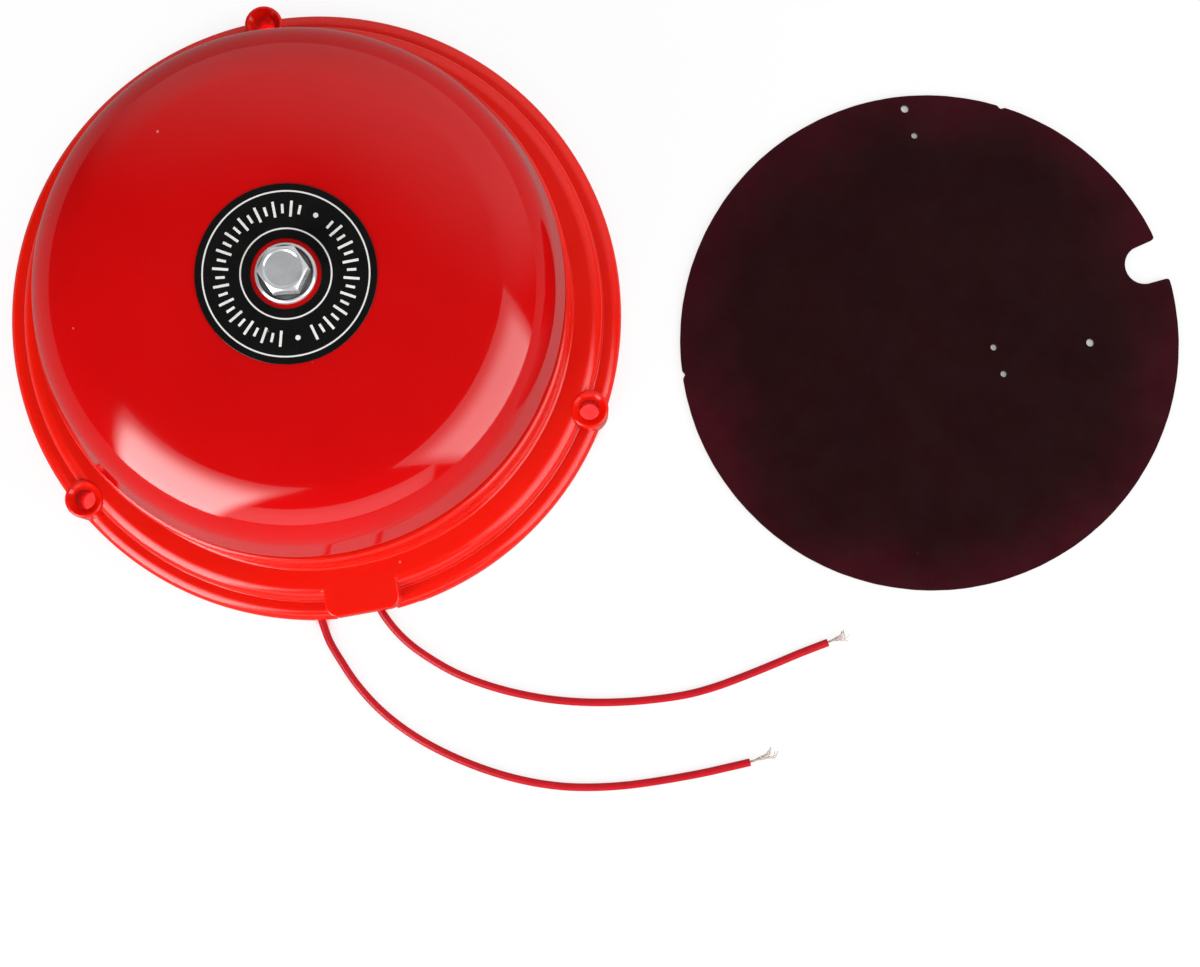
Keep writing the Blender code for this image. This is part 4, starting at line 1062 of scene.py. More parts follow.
def dress(obj, finish, body, slot, *nodes):
    """Finishes a mesh piece: smooth faces, its material, and the CAD nodes and body it goes with."""
    check_closed(obj)
    obj.data.shade_smooth()
    obj.data.set_sharp_from_angle(angle=SMOOTH_ANGLE)
    flats = obj.modifiers.new("flats", "WEIGHTED_NORMAL")
    flats.keep_sharp = True
    settle(obj)
    obj.data.materials.clear()
    obj.data.materials.append(finish_of(finish))
    if body:
        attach(obj, body)
    if nodes:
        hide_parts(*nodes)
    return obj


# Operators


class BELL_OT_set_stage(bpy.types.Operator):
    """Sets up the table, the softboxes, the room's light and the camera"""

    bl_idname = "alarm_bell.set_stage"
    bl_label = "Stage"

    CAMERA_PLACE = Vector((0.0586933, -0.0688281, 0.491932))
    CAMERA_TILT = math.radians(4.5559)
    CAMERA_ROLL = math.radians(3.8629)
    CAMERA_LENS = 74.173
    CAMERA_SENSOR = 36.0
    CAMERA_NEAR = 0.01
    AIM = Vector((0.0, 0.0, 0.03))
    # Softboxes: name, azimuth and elevation in degrees, distance, size, and where the top is dark
    SOFTBOXES = (
        ("left_softbox", -125.5, 32.0, 0.70, (0.48, 0.91), 1.0),
        ("right_softbox", -22.0, 30.0, 0.75, (0.66, 0.90), 0.93),
        ("front_fill", -84.0, 16.0, 1.20, (1.60, 0.60), 1.0),
    )
    SOFTBOX_ENDS = (0.5, 0.36)
    FAR_SIDE = math.radians(80.0)
    FAR_RISE = math.radians(10.0)
    FAR_SPREAD = (0.31, 0.75)
    LIGHT_SIDE = math.radians(30.0)
    LIGHT_RISE = math.radians(38.0)
    WHITE = (1.0, 1.0, 1.0, 1.0)
    # What little light reaches the table inside a deep hole has passed through or off the red plastic
    HOLE_LIGHT = (1.0, 0.055, 0.055, 1.0)
    # Share of the near sky that the table sees: start and end of a deep hole, and end of the shade
    SKY_REACH = 0.005
    HOLE_SKY = (0.50, 0.30)
    SHADE_SKY = 0.45
    # How white the table shows, with painted shade where the near sky is closed: what the open sky adds,
    # and what is there without it
    SKY_WHITE, PLAIN_WHITE = 0.37, 0.56
    BELL_REACH = 0.063
    TABLE_GAP = 0.00005

    def execute(self, context):
        stage = context.scene.bell_stage
        context.scene.view_settings.view_transform = "Standard"
        self.add_camera(context.scene)
        self.add_floor(stage)
        self.add_room(context.scene, stage)
        for softbox, watts in zip(self.SOFTBOXES, (stage.left_power, stage.right_power, stage.front_power)):
            self.add_softbox(*softbox, watts)
        return {"FINISHED"}

    def add_camera(self, scene):
        camera = bpy.data.objects.new("camera", bpy.data.cameras.new("camera"))
        camera.data.lens = self.CAMERA_LENS
        camera.data.sensor_width = self.CAMERA_SENSOR
        camera.data.sensor_fit = "HORIZONTAL"
        camera.data.clip_start = self.CAMERA_NEAR
        tilt = Matrix.Rotation(self.CAMERA_TILT, 4, "X")
        roll = Matrix.Rotation(self.CAMERA_ROLL, 4, "Z")
        camera.matrix_world = Matrix.Translation(self.CAMERA_PLACE) @ tilt @ roll
        scene.collection.objects.link(camera)
        scene.camera = camera

    def add_floor(self, stage):
        shape = bmesh.new()
        bmesh.ops.create_grid(shape, x_segments=1, y_segments=1, size=stage.floor_size / 2)
        floor = shift(finish_shape("table", shape), Matrix.Translation((0.0, 0.0, -self.TABLE_GAP)))
        if floor.data.polygons[0].normal.z < 0:
            floor.data.flip_normals()
        material, tree, shader = new_material("table_white")
        tree.nodes.remove(shader)
        path = add_node(tree, "ShaderNodeLightPath").outputs
        # The table's glow carries painted shade where little near sky is open, and painted red light inside
        # the housing's deep holes, where the table also glows onto the hole walls
        open_sky = openness(tree, self.SKY_REACH)
        beside_bell = math_node(tree, "LESS_THAN", radius_from(tree, (0.0, 0.0, 0.0)), self.BELL_REACH)
        red_light = math_node(tree, "MULTIPLY", ramp(tree, open_sky, *self.HOLE_SKY), beside_bell)
        tone = mixed(tree, red_light, self.WHITE, self.HOLE_LIGHT)
        unseen = math_node(tree, "SUBTRACT", 1.0, path["Is Camera Ray"])
        strength = math_node(tree, "MULTIPLY_ADD", unseen, stage.hole_light, path["Is Camera Ray"])
        shaded_whiteness = math_node(tree, "MULTIPLY_ADD", open_sky, self.SKY_WHITE, self.PLAIN_WHITE)
        lit = math_node(tree, "MULTIPLY", ramp(tree, open_sky, 0.0, self.SHADE_SKY), shaded_whiteness)
        white = math_node(tree, "MULTIPLY", path["Is Camera Ray"], lit)
        clear = math_node(tree, "MULTIPLY", white, math_node(tree, "SUBTRACT", 1.0, red_light))
        glowing = math_node(tree, "MULTIPLY_ADD", red_light, stage.hole_glow, clear)
        # Seen from below, the table isn't there, and neither is it for the light that goes that way
        behind = add_node(tree, "ShaderNodeNewGeometry").outputs["Backfacing"]
        gone = math_node(tree, "MINIMUM", path["Transparent Depth"], 1.0)
        from_below = math_node(tree, "MAXIMUM", behind, gone)
        glow = add_node(tree, "ShaderNodeEmission", {"Color": tone, "Strength": strength})
        mirror = add_node(tree, "ShaderNodeEmission", {"Color": tone, "Strength": stage.mirrored})
        empty = add_node(tree, "ShaderNodeBsdfTransparent")
        look = add_node(tree, "ShaderNodeBsdfDiffuse", {"Color": (*stage.floor, 1.0)})
        for factor, over in ((glowing, glow), (path["Is Glossy Ray"], mirror), (from_below, empty)):
            layers = {0: factor, 1: look.outputs[0], 2: over.outputs[0]}
            look = add_node(tree, "ShaderNodeMixShader", layers)
        tree.links.new(look.outputs[0], tree.nodes["Material Output"].inputs["Surface"])
        floor.data.materials.append(material)

    def add_room(self, scene, stage):
        world = bpy.data.worlds.new("room")
        world.use_nodes = True
        tree = world.node_tree
        room = tree.nodes["Background"]
        path = add_node(tree, "ShaderNodeLightPath").outputs
        facing = add_node(tree, "ShaderNodeTexCoord").outputs["Generated"]
        far = polar(math.cos(self.FAR_RISE), self.FAR_SIDE, math.sin(self.FAR_RISE))
        ahead = vector_node(tree, "DOT_PRODUCT", facing, far, output=1)
        glow = ramp(tree, ahead, *self.FAR_SPREAD, interpolation_type="SMOOTHSTEP")
        level = math_node(tree, "MULTIPLY_ADD", glow, stage.far_glow, stage.ambient)
        source = polar(math.cos(self.LIGHT_RISE), self.LIGHT_SIDE, math.sin(self.LIGHT_RISE))
        aside = vector_node(tree, "DOT_PRODUCT", facing, source, output=1)
        towards = math_node(tree, "MAXIMUM", aside, 0.0)
        hidden = math_node(tree, "MULTIPLY", path["Is Glossy Ray"], stage.side_light)
        matt_light = math_node(tree, "SUBTRACT", stage.side_light, hidden)
        level = math_node(tree, "MULTIPLY_ADD", math_node(tree, "POWER", towards, 2.0), matt_light, level)
        below = math_node(tree, "MINIMUM", path["Transparent Depth"], 1.0)
        level = math_node(tree, "MULTIPLY_ADD", below, stage.under_glow, level)
        seen = mixed(tree, path["Is Camera Ray"], level, self.WHITE)
        tree.links.new(seen, room.inputs["Color"])
        scene.world = world

    def add_softbox(self, name, azimuth, elevation, distance, size, top, watts):
        """A softbox that fades at its ends and from its middle towards its top."""
        lamp = bpy.data.lights.new(name, "AREA")
        lamp.shape = "RECTANGLE"
        lamp.size, lamp.size_y = size
        lamp.energy = watts
        lamp.use_nodes = True
        tree = lamp.node_tree
        place = add_node(tree, "ShaderNodeNewGeometry").outputs["Parametric"]
        spot = add_node(tree, "ShaderNodeSeparateXYZ", {0: place}).outputs
        aside = math_node(tree, "ABSOLUTE", math_node(tree, "SUBTRACT", spot[0], 0.5))
        even = 1.0
        for off, limits in ((aside, self.SOFTBOX_ENDS), (spot[1], (top, 0.5))):
            fade = ramp(tree, off, *limits, interpolation_type="SMOOTHSTEP")
            even = math_node(tree, "MULTIPLY", fade, even)
        tree.links.new(even, tree.nodes["Emission"].inputs["Strength"])
        obj = bpy.data.objects.new(name, lamp)
        rise = math.radians(elevation)
        flat = polar(math.cos(rise), math.radians(azimuth), math.sin(rise))
        aim = flat.to_track_quat("Z", "Y").to_matrix().to_4x4()
        obj.matrix_world = Matrix.Translation(self.AIM + flat * distance) @ aim
        obj.visible_camera = False
        bpy.context.scene.collection.objects.link(obj)


class BELL_OT_lay_leads(bpy.types.Operator):
    """Lays the two lead wires on the table, with their bare, twisted ends"""

    bl_idname = "alarm_bell.lay_leads"
    bl_label = "Leads"

    STRAND_SPACING = 0.0005
    LEAD_SPACING = 0.0010
    LEAD_DETAIL = 6
    TWIST = 7.5

    def execute(self, context):
        leads = context.scene.bell_leads
        for letter, route, strands, seed in (("a", ROUTE_A, STRANDS_A, 0), ("b", ROUTE_B, STRANDS_B, 9)):
            bundle = grow(
                points_object(f"bare_wires_{letter}", smooth_route(strands, self.STRAND_SPACING)),
                "strand_bundle", "tinned_wire",
                wires=leads.wires, wire_radius=leads.wire_radius, lay_radius=leads.lay_radius,
                splay=leads.splay, twist=self.TWIST, seed=leads.seed + seed,
            )
            dress(bundle, "tinned_wire", "bell", "tinned_copper", f"lead_{letter}_strands")
            points = smooth_route(route, self.LEAD_SPACING)
            curve = bpy.data.curves.new(f"lead_wire_{letter}", "CURVE")
            curve.dimensions = "3D"
            curve.bevel_depth = leads.radius
            curve.bevel_resolution = self.LEAD_DETAIL
            curve.use_fill_caps = True
            spline = curve.splines.new("POLY")
            spline.points.add(len(points) - 1)
            for target, point in zip(spline.points, points):
                target.co = (*point, 1.0)
            spline.use_smooth = True
            curve.materials.append(finish_of("lead_insulation"))
            lead = mesh_object(curve.name, curve)
            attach(lead, "bell")
            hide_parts(f"lead_{letter}")
            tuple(route[0])
            route_length(points)
        return {"FINISHED"}


class BELL_OT_mould_housing(bpy.types.Operator):
    """Moulds the housing: flange, deck, drum, screw ears and wire exit"""

    bl_idname = "alarm_bell.mould_housing"
    bl_label = "Housing"

    EARS = 3
    POST_RADIUS = 0.0032
    POST_HOLE = 0.0008
    POST_HOLE_DEPTH = 0.0080
    # Places of the back plate's screws when it is fitted: radius and angle from the wire exit
    POSTS = ((0.0474, -75.8), (0.0322, 20.2))
    POST_ROUND = 0.0004
    PILOT_STEPS = 24
    SLOT = (0.0090, 0.0060)
    SLOT_SHIFT = 0.0005
    SLOT_ROUND = 0.0008
    SCREW_HOLE = 0.0017
    SCREW_STEPS = 32
    EAR_FOOT = 0.00047
    BLOCK_FOOT = 0.0018
    BLOCK_EDGE = 0.0005
    CHANNEL_ROUND = 0.0004
    SOFT_EDGE = 0.00018
    # Roundings of the section's corners: inside corners, rims, the recess and the chamber's mouth
    CORNER_ROUND, RIM_ROUND, RECESS_ROUND, MOUTH_ROUND = 0.0008, 0.0003, 0.0005, 0.0004
    SECTION_STEPS = 7

    def execute(self, context):
        h = context.scene.bell_housing
        housing = lathe("housing", self.profile(h), ROUND_STEPS)
        exit_turn = Matrix.Rotation(h.ear_turn - math.pi, 4, "Z")
        added = [shift(self.exit_block(h), exit_turn)]
        taken = [shift(tool, exit_turn) for tool in self.wire_channel(h)]
        ceiling = h.drum_top - h.wall
        for i in range(self.EARS):
            centre = polar(h.ear_circle, h.ear_turn + 2 * math.pi * i / self.EARS)
            boss, bore = self.ear(h)
            added.append(shift(boss, Matrix.Translation(centre)))
            taken.append(shift(bore, Matrix.Translation(centre)))
        foot = h.deck_height - h.wall + CLEARANCE
        root = ceiling + h.wall / 2
        for radius, degrees in self.POSTS:
            place = polar(radius, h.ear_turn - math.pi + math.radians(degrees))
            post = turned("post", [
                (0.0, root, 0), (self.POST_RADIUS, root, 0), (self.POST_RADIUS, foot, self.POST_ROUND),
                (0.0, foot, 0),
            ])
            added.append(shift(post, Matrix.Translation(place)))
            depth = foot + self.POST_HOLE_DEPTH
            taken.append(hole_along_z(self.POST_HOLE, place, 0.0, depth, self.PILOT_STEPS))
        carve(housing, added, "UNION")
        under, over = ceiling - h.wall, h.drum_top + h.wall
        rod = middle("rod_block") + Vector((self.SLOT_SHIFT, 0.0, 0.0))
        long, wide = self.SLOT
        slot_start = (rod.x - long / 2, rod.y - wide / 2, under)
        slot_end = (rod.x + long / 2, rod.y + wide / 2, over)
        taken.append(round_box("hammer_slot", slot_start, slot_end, self.SLOT_ROUND))
        for number in (1, 2):
            screw = middle(f"chassis_screw_{number}")
            taken.append(hole_along_z(self.SCREW_HOLE, screw, under, over, self.SCREW_STEPS))
        carve(housing, taken)
        soften(housing, self.SOFT_EDGE, 2, BROAD_EDGES)
        dress(housing, "moulded_plastic", "bell", "housing_plastic", "base")
        return {"FINISHED"}

    def profile(self, h):
        """The housing's section: down its outer side, then up the inside."""
        deck_underside = h.deck_height - h.wall
        recess = h.flange_radius - h.back_rim
        chamber = h.drum_radius - h.wall
        ceiling = h.drum_top - h.wall
        return rounded([
            (h.drum_radius, h.drum_top, h.drum_round),
            (h.drum_radius, h.deck_height, self.CORNER_ROUND),
            (h.ledge_radius, h.deck_height, h.shoulder_round),
            (h.ledge_radius, h.flange_thickness, self.RIM_ROUND),
            (h.flange_radius, h.flange_thickness, h.flange_round),
            (h.flange_radius, 0.0, self.RIM_ROUND),
            (recess, 0.0, self.RIM_ROUND),
            (recess, deck_underside, self.RECESS_ROUND),
            (chamber, deck_underside, self.MOUTH_ROUND),
            (chamber, ceiling, self.CORNER_ROUND),
            (h.stud_hole, ceiling, 0.0),
            (h.stud_hole, h.drum_top, 0.0),
        ], steps=self.SECTION_STEPS)

    def ear(self, h):
        """A screw ear about Z, and the tool for its dish and hole."""
        top, foot = h.deck_height + h.ear_rise, self.EAR_FOOT
        boss = turned("ear", [
            (0.0, top, 0), (h.ear_radius, top, 0.0005), (h.ear_radius, foot, 0.0002), (0.0, foot, 0),
        ])
        floor = top - h.dish_depth
        bore = turned("ear_bore", [
            (0.0, top + h.wall, 0), (h.dish_radius + 0.0004, top + h.wall, 0),
            (h.dish_radius + 0.0001, top, 0.0002), (h.ear_hole + 0.0005, floor, 0.0005),
            (h.ear_hole, floor - 0.0006, 0.0004), (h.ear_hole, -h.wall, 0), (0.0, -h.wall, 0),
        ])
        return boss, bore

    def exit_block(self, h):
        """The flat-topped block over the wires, along +X."""
        half = h.block_width / 2
        face = h.flange_radius - CLEARANCE
        root = h.ledge_radius - h.shoulder_round - h.wall / 4
        outline = rounded([
            (root, -half, 0), (face, -half, h.block_corner), (face, half, h.block_corner), (root, half, 0),
        ])
        top = h.deck_height - h.block_drop
        block = slab("exit_block", outline, self.BLOCK_FOOT, top)
        shape = bmesh.new()
        shape.from_mesh(block.data)
        rim = [
            e for e in shape.edges
            if all(v.co.z > top - MERGE for v in e.verts) and max(v.co.x for v in e.verts) > root + MERGE
        ]
        bmesh.ops.bevel(shape, geom=rim, offset=self.BLOCK_EDGE, segments=4, profile=0.5, affect="EDGES")
        shape.to_mesh(block.data)
        shape.free()
        return block

    def wire_channel(self, h):
        inner = h.flange_radius - h.back_rim - 2 * h.wall
        outer = h.flange_radius + h.wall
        for width, height in ((h.exit_width, h.exit_height), (h.groove_width, h.groove_height)):
            start, end = (inner, -width / 2, -h.wall), (outer, width / 2, height)
            yield round_box("channel", start, end, self.CHANNEL_ROUND)


class BELL_OT_press_gong(bpy.types.Operator):
    """Presses the gong: flat centre, crown, shoulder, wall and rounded rim"""

    bl_idname = "alarm_bell.press_gong"
    bl_label = "Gong"

    STEPS = 256
    CROWN_STEPS = 16
    SHOULDER_STEPS = 28
    RIM_ROUND = 0.42
    RIM_BAND = 0.0012

    def execute(self, context):
        g = context.scene.bell_gong
        outer = self.skin(g, 0.0)
        inner = self.skin(g, g.wall)
        rim_out, rim_in = outer.pop(), inner.pop()
        lip = g.wall * self.RIM_ROUND
        rim = rounded([(*outer[-1], 0), (*rim_out, lip), (*rim_in, lip), (*inner[-1], 0)], closed=False)
        profile = outer[:-1] + rim + inner[:-1][::-1]
        gong = lathe("gong_shell", profile, self.STEPS)
        dress(gong, "gloss_enamel", "bell", "gong_paint", "gong")
        return {"FINISHED"}

    def skin(self, g, inset):
        """Points of the gong's surface at a depth inside its outer skin, from the bore to the rim."""
        rim_z, top = low("gong").z, high("gong").z
        lean_r, lean_z = math.cos(g.wall_tilt), math.sin(g.wall_tilt)
        crown_z = top - g.crown_radius
        reach = g.crown_radius - g.shoulder_radius
        wall = lean_r * g.rim_radius + lean_z * rim_z - g.shoulder_radius
        crown_end = math.asin((wall - lean_r * g.flat_radius - lean_z * crown_z) / reach) - g.wall_tilt
        shoulder = (g.flat_radius + reach * math.sin(crown_end), crown_z + reach * math.cos(crown_end))
        quarter = math.pi / 2
        side = quarter - crown_end
        crown = arc((g.flat_radius, crown_z), g.crown_radius - inset, quarter, side, self.CROWN_STEPS)
        bend = arc(shoulder, g.shoulder_radius - inset, side, g.wall_tilt, self.SHOULDER_STEPS)
        rim = (g.rim_radius - inset / lean_r, rim_z)
        above = (rim[0] - self.RIM_BAND * math.tan(g.wall_tilt), rim_z + self.RIM_BAND)
        return [(g.bore, top - inset)] + crown + bend[1:] + [above, rim]


class BELL_OT_print_label(bpy.types.Operator):
    """Makes the label round the bolt: film, printed lines and a plain ring of marks"""

    bl_idname = "alarm_bell.print_label"
    bl_label = "Label"

    INK = 0.00002
    EDGE_ROUND = 0.3
    DOTS = (9, 38)

    def execute(self, context):
        settings = context.scene.bell_label
        bottom, top = low("gong_label").z, high("gong_label").z
        edge = (top - bottom) * self.EDGE_ROUND
        film = turned_ring("label_disc", [
            (settings.hole, top, edge), (settings.radius, top, edge),
            (settings.radius, bottom, 0), (settings.hole, bottom, 0),
        ], ROUND_STEPS)
        dress(film, "label_film", "bell", "label_film", "gong_label")
        first, second = self.DOTS
        marks = grow(
            points_object("label_marks", [(0.0, 0.0, top)], joined=False), "ring_of_marks", "label_ink",
            count=settings.mark_count, circle=settings.mark_circle, length=settings.mark_length,
            width=settings.mark_width, thickness=self.INK, height=top + self.INK / 2,
            first_dot=first, second_dot=second,
        )
        dress(marks, "label_ink", "bell", "label_film")
        return {"FINISHED"}


class BELL_OT_fit_bolt(bpy.types.Operator):
    """Makes the plated hex flange bolt that holds the gong"""

    bl_idname = "alarm_bell.fit_bolt"
    bl_label = "Bolt"

    STEPS = 96
    SOFT_EDGE = 0.00012
    CHAMFER_FALL = 0.55

    def execute(self, context):
        b = context.scene.bell_bolt
        seat = high("gong").z + CLEARANCE
        top = high("gong_bolt").z
        tip = low("gong_bolt").z
        half = b.flats / 2
        corner = hex_corner(b.flats)
        head = hex_prism("hex_head", b.flats, seat + b.flange_thickness / 3, top, b.head_turn)
        fall = (corner - half + b.chamfer) * self.CHAMFER_FALL
        crown = turned("crown", [
            (0.0, top - b.dish, 0), (half - 2 * b.chamfer - b.dish, top - b.dish, 0.0003),
            (half - 1.8 * b.chamfer, top, 0.0001), (half - b.chamfer, top, 0.0001),
            (corner + b.chamfer, top - fall, 0), (corner + b.chamfer, seat, 0), (0.0, seat, 0),
        ], self.STEPS)
        carve(head, [crown], "INTERSECT")
        rim = seat + b.flange_thickness
        bolt = turned("hex_bolt", [
            (0.0, rim - b.trough, 0), (corner + 0.0001, rim - b.trough, 0.00015),
            (corner + 0.0004, rim, 0.0002), (b.flange_radius - 0.0001, rim - 0.0004, 0.0003),
            (b.flange_radius, seat, 0.00008), (b.shank, seat, 0.0001), (b.shank, tip + 0.0006, 0.0001),
            (b.shank - 0.0005, tip, 0), (0.0, tip, 0),
        ], self.STEPS)
        carve(bolt, [head], "UNION")
        soften(bolt, self.SOFT_EDGE)
        dress(bolt, "bright_plating", "bell", "bolt_plating", "gong_bolt")
        return {"FINISHED"}


class BELL_OT_cut_back_plate(bpy.types.Operator):
    """Cuts the loose insulating back plate, with its holes, notch and sawn edge"""

    bl_idname = "alarm_bell.cut_back_plate"
    bl_label = "Back plate"

    # Small holes: distance and angle about the plate's centre, and part of the full radius
    HOLES = (
        (0.0474, 99.3, 1.0), (0.0322, 3.3, 1.0), (0.0418, 97.4, 0.8), (0.0129, -1.8, 0.8),
        (0.0162, -20.3, 0.8),
    )
    HOLE_STEPS = 32
    NOTCH_STEPS = 32
    DRILL_REACH = 0.003
    NICKS = (76.5, -168.3)
    NICK_HALF = math.radians(0.9)
    # The saw's waves: their part of the depth, and the count and phase of the two that beat
    WAVES = ((0.6, 7, 1.3, 3, 0.0), (0.4, 61, 0.0, 23, 0.7))

    def execute(self, context):
        p = context.scene.bell_plate
        bottom, top = low("back_plate"), high("back_plate")
        radius = (top.x - bottom.x) / 2
        centre = middle("back_plate")
        mouth = math.asin((p.notch_radius + CLEARANCE) / radius)
        count = 4 * ROUND_STEPS
        start, end = p.notch_turn + mouth, p.notch_turn + 2 * math.pi - mouth
        lip = 3 * p.lip_round / radius
        corners = []
        for i in range(count + 1):
            angle = start + lip + (end - start - 2 * lip) * i / count
            corners.append((*polar(radius - self.sawn(p, angle), angle).xy, 0.0))
        notch = polar(radius - p.notch_inset, p.notch_turn)
        quarter = math.pi / 2
        corners.append((*polar(radius - p.saw_depth, end).xy, p.lip_round))
        sides = (p.notch_turn - quarter, p.notch_turn - 3 * quarter)
        corners += [(x, y, 0.0) for x, y in arc(notch, p.notch_radius, *sides, self.NOTCH_STEPS)]
        corners.append((*polar(radius - p.saw_depth, start).xy, p.lip_round))
        plate = slab("board_disc", rounded(corners), bottom.z, top.z)
        tools = []
        ends = (-self.DRILL_REACH, self.DRILL_REACH)
        for distance, degrees, part in self.HOLES:
            place = polar(distance, math.radians(degrees))
            tools.append(hole_along_z(p.hole_radius * part, place, *ends, self.HOLE_STEPS))
        carve(plate, tools)
        soften(plate, p.edge_round, 2, BROAD_EDGES)
        shift(plate, Matrix.Translation((centre.x, centre.y, 0.0)))
        dress(plate, "insulating_board", "back_plate", "black_board", "back_plate")
        return {"FINISHED"}

    def sawn(self, p, angle):
        """How far the edge lies inside a true circle: slow waves, fine saw marks and two nicks."""
        waves = 0.0
        for part, fast, phase, slow, slow_phase in self.WAVES:
            beat = 0.5 * math.sin(fast * angle + phase) * math.sin(slow * angle + slow_phase)
            waves += part * (0.5 + beat)
        depth = p.saw_depth * waves
        for degrees in self.NICKS:
            off = (angle - math.radians(degrees) + math.pi) % (2 * math.pi) - math.pi
            depth += p.nick_depth * max(0.0, 1.0 - abs(off) / self.NICK_HALF)
        return depth


class BELL_OT_turn_pillar(bpy.types.Operator):
    """Turns the gong's pillar, with its washers and nut"""

    bl_idname = "alarm_bell.turn_pillar"
    bl_label = "Pillar"

    CONE_STEPS = 72
    CHAMFER_FALL = 0.58
    SOFT_EDGE = 0.0001
    DRILL_PAST = 0.001

    def execute(self, context):
        w = context.scene.bell_works
        bottom, top = low("gong_pillar").z, high("gong_pillar").z
        foot = context.scene.bell_housing.drum_top + CLEARANCE
        collar = foot + w.pillar_foot
        foot_radius = high("gong_pillar").x
        bore = context.scene.bell_gong.bore
        end = low("gong_bolt").z - CLEARANCE
        edge = w.edge_round
        pillar = turned_ring("pillar_post", [
            (bore, top, edge), (w.pillar_radius, top, 2 * edge), (w.pillar_radius, collar, edge),
            (foot_radius, collar, 2 * edge), (foot_radius, foot, edge), (w.stud_radius, foot, 0),
            (w.stud_radius, bottom, 2 * edge), (0.0, bottom, 0), (0.0, end, 0), (bore, end, 0),
        ])
        dress(pillar, "zinc_plating", "bell", "zinc_steel", "gong_pillar")
        stud_bore = w.stud_radius + CLEARANCE
        self.washer("fibre_washer", bore, edge, "red_fibre", "fibre", "gong_washer")
        self.washer("steel_washer", stud_bore, edge, "zinc_plating", "zinc_steel", "pillar_washer")
        bottom, top = low("pillar_nut").z, high("pillar_nut").z
        nut = hex_prism("hex_nut", w.nut_flats, bottom, top)
        half = w.nut_flats / 2
        corner = hex_corner(w.nut_flats)
        fall = (corner - half) * self.CHAMFER_FALL
        cone = turned("nut_cone", [
            (0.0, top, 0), (half, top, 0), (corner + edge, top - fall, 0),
            (corner + edge, bottom + fall, 0), (half, bottom, 0), (0.0, bottom, 0),
        ], self.CONE_STEPS)
        carve(nut, [cone], "INTERSECT")
        past = self.DRILL_PAST
        carve(nut, [hole_along_z(stud_bore, Vector((0, 0, 0)), bottom - past, top + past)])
        soften(nut, self.SOFT_EDGE, 2)
        dress(nut, "zinc_plating", "bell", "zinc_steel", "pillar_nut")
        return {"FINISHED"}

    def washer(self, name, bore, edge, finish, slot, node):
        bottom, top, outer = low(node).z, high(node).z, high(node).x
        made = turned_ring(name, [
            (bore, top, edge), (outer, top, edge), (outer, bottom, edge), (bore, bottom, edge),
        ])
        dress(made, finish, "bell", slot, node)


def slotted_screw(shank, head, head_height, reach):
    """A slotted pan-head screw about Z: the head's underside is at z = 0 and the shank goes down."""
    screw = turned("screw", [
        (0.0, head_height, 0), (head, head_height, SCREW_DOME * head_height), (head, 0.0, 2 * SCREW_EDGE),
        (shank, 0.0, 0), (shank, -reach + SCREW_TIP, 0), (shank - SCREW_TIP, -reach, 0), (0.0, -reach, 0),
    ])
    half = SCREW_SLOT * head
    start, end = (-2 * head, -half, 0.5 * head_height), (2 * head, half, 2 * head_height)
    carve(screw, [round_box("slot", start, end, SCREW_EDGE, 1)])
    return soften(screw, SCREW_EDGE, 2, FINE_EDGES)


def set_fasteners(name, model, nodes, seat, axis, seed, finish):
    """Copies of one fastener on their seats along an axis (0 for X, 2 for Z), as one piece."""
    places = [middle(node) for node in nodes]
    for place in places:
        place[axis] = seat
    source = points_object(name, places, joined=False)
    about = tuple(Matrix.Identity(3)[axis])
    made = grow(source, "set_fasteners", finish, fastener=model, axis=about, seed=seed)
    bpy.data.objects.remove(model)
    return made


class BELL_OT_bend_chassis(bpy.types.Operator):
    """Bends the chassis strip under the drum's top and sets its screws"""

    bl_idname = "alarm_bell.bend_chassis"
    bl_label = "Chassis"

    # How far the drills start before the strip's faces and end beyond them
    DRILL_IN, DRILL_OUT = 0.004, 0.002
    SCREW_SEED = 3

    def execute(self, context):
        w = context.scene.bell_works
        start, end = low("chassis"), high("chassis")
        lip = low("clamp_plate").z
        inner = max(w.bend - w.strip, w.edge_round)
        outline = rounded([
            (start.x, start.z, 0), (start.x, end.z, w.bend), (end.x, end.z, w.bend), (end.x, lip, 0),
            (end.x - w.strip, lip, 0), (end.x - w.strip, end.z - w.strip, inner),
            (start.x + w.strip, end.z - w.strip, inner), (start.x + w.strip, start.z, 0),
        ])
        strip = slab("chassis_strip", outline, start.y, end.y, lambda u, v, d: (u, d, v))
        screw_bore, clamp_bore = w.screw_shank + CLEARANCE, w.clamp_shank + CLEARANCE
        inside, outside = self.DRILL_IN, self.DRILL_OUT
        tools = []
        for number in (1, 2):
            screw, clamp = middle(f"chassis_screw_{number}"), middle(f"clamp_screw_{number}")
            tools.append(hole_along_z(screw_bore, screw, end.z - inside, end.z + outside))
            tools.append(hole_along_x(clamp_bore, clamp, end.x - inside, end.x + outside))
        core = middle("core_screw")
        tools.append(hole_along_x(screw_bore, core, start.x - outside, start.x + inside))
        carve(strip, tools)
        soften(strip, w.edge_round / 2, 2, FINE_EDGES)
        dress(strip, "chassis_steel", "bell", "chassis_steel", "chassis")

        names = ("chassis_screw_1", "chassis_screw_2")
        head = (high(names[0]).x - low(names[0]).x) / 2
        seat = high(names[0]).z - w.screw_head
        model = slotted_screw(w.screw_shank, head, w.screw_head, seat - low(names[0]).z)
        screws = set_fasteners("chassis_screws", model, names, seat, 2, self.SCREW_SEED, "zinc_plating")
        dress(screws, "zinc_plating", "bell", "zinc_steel", *names)
        return {"FINISHED"}


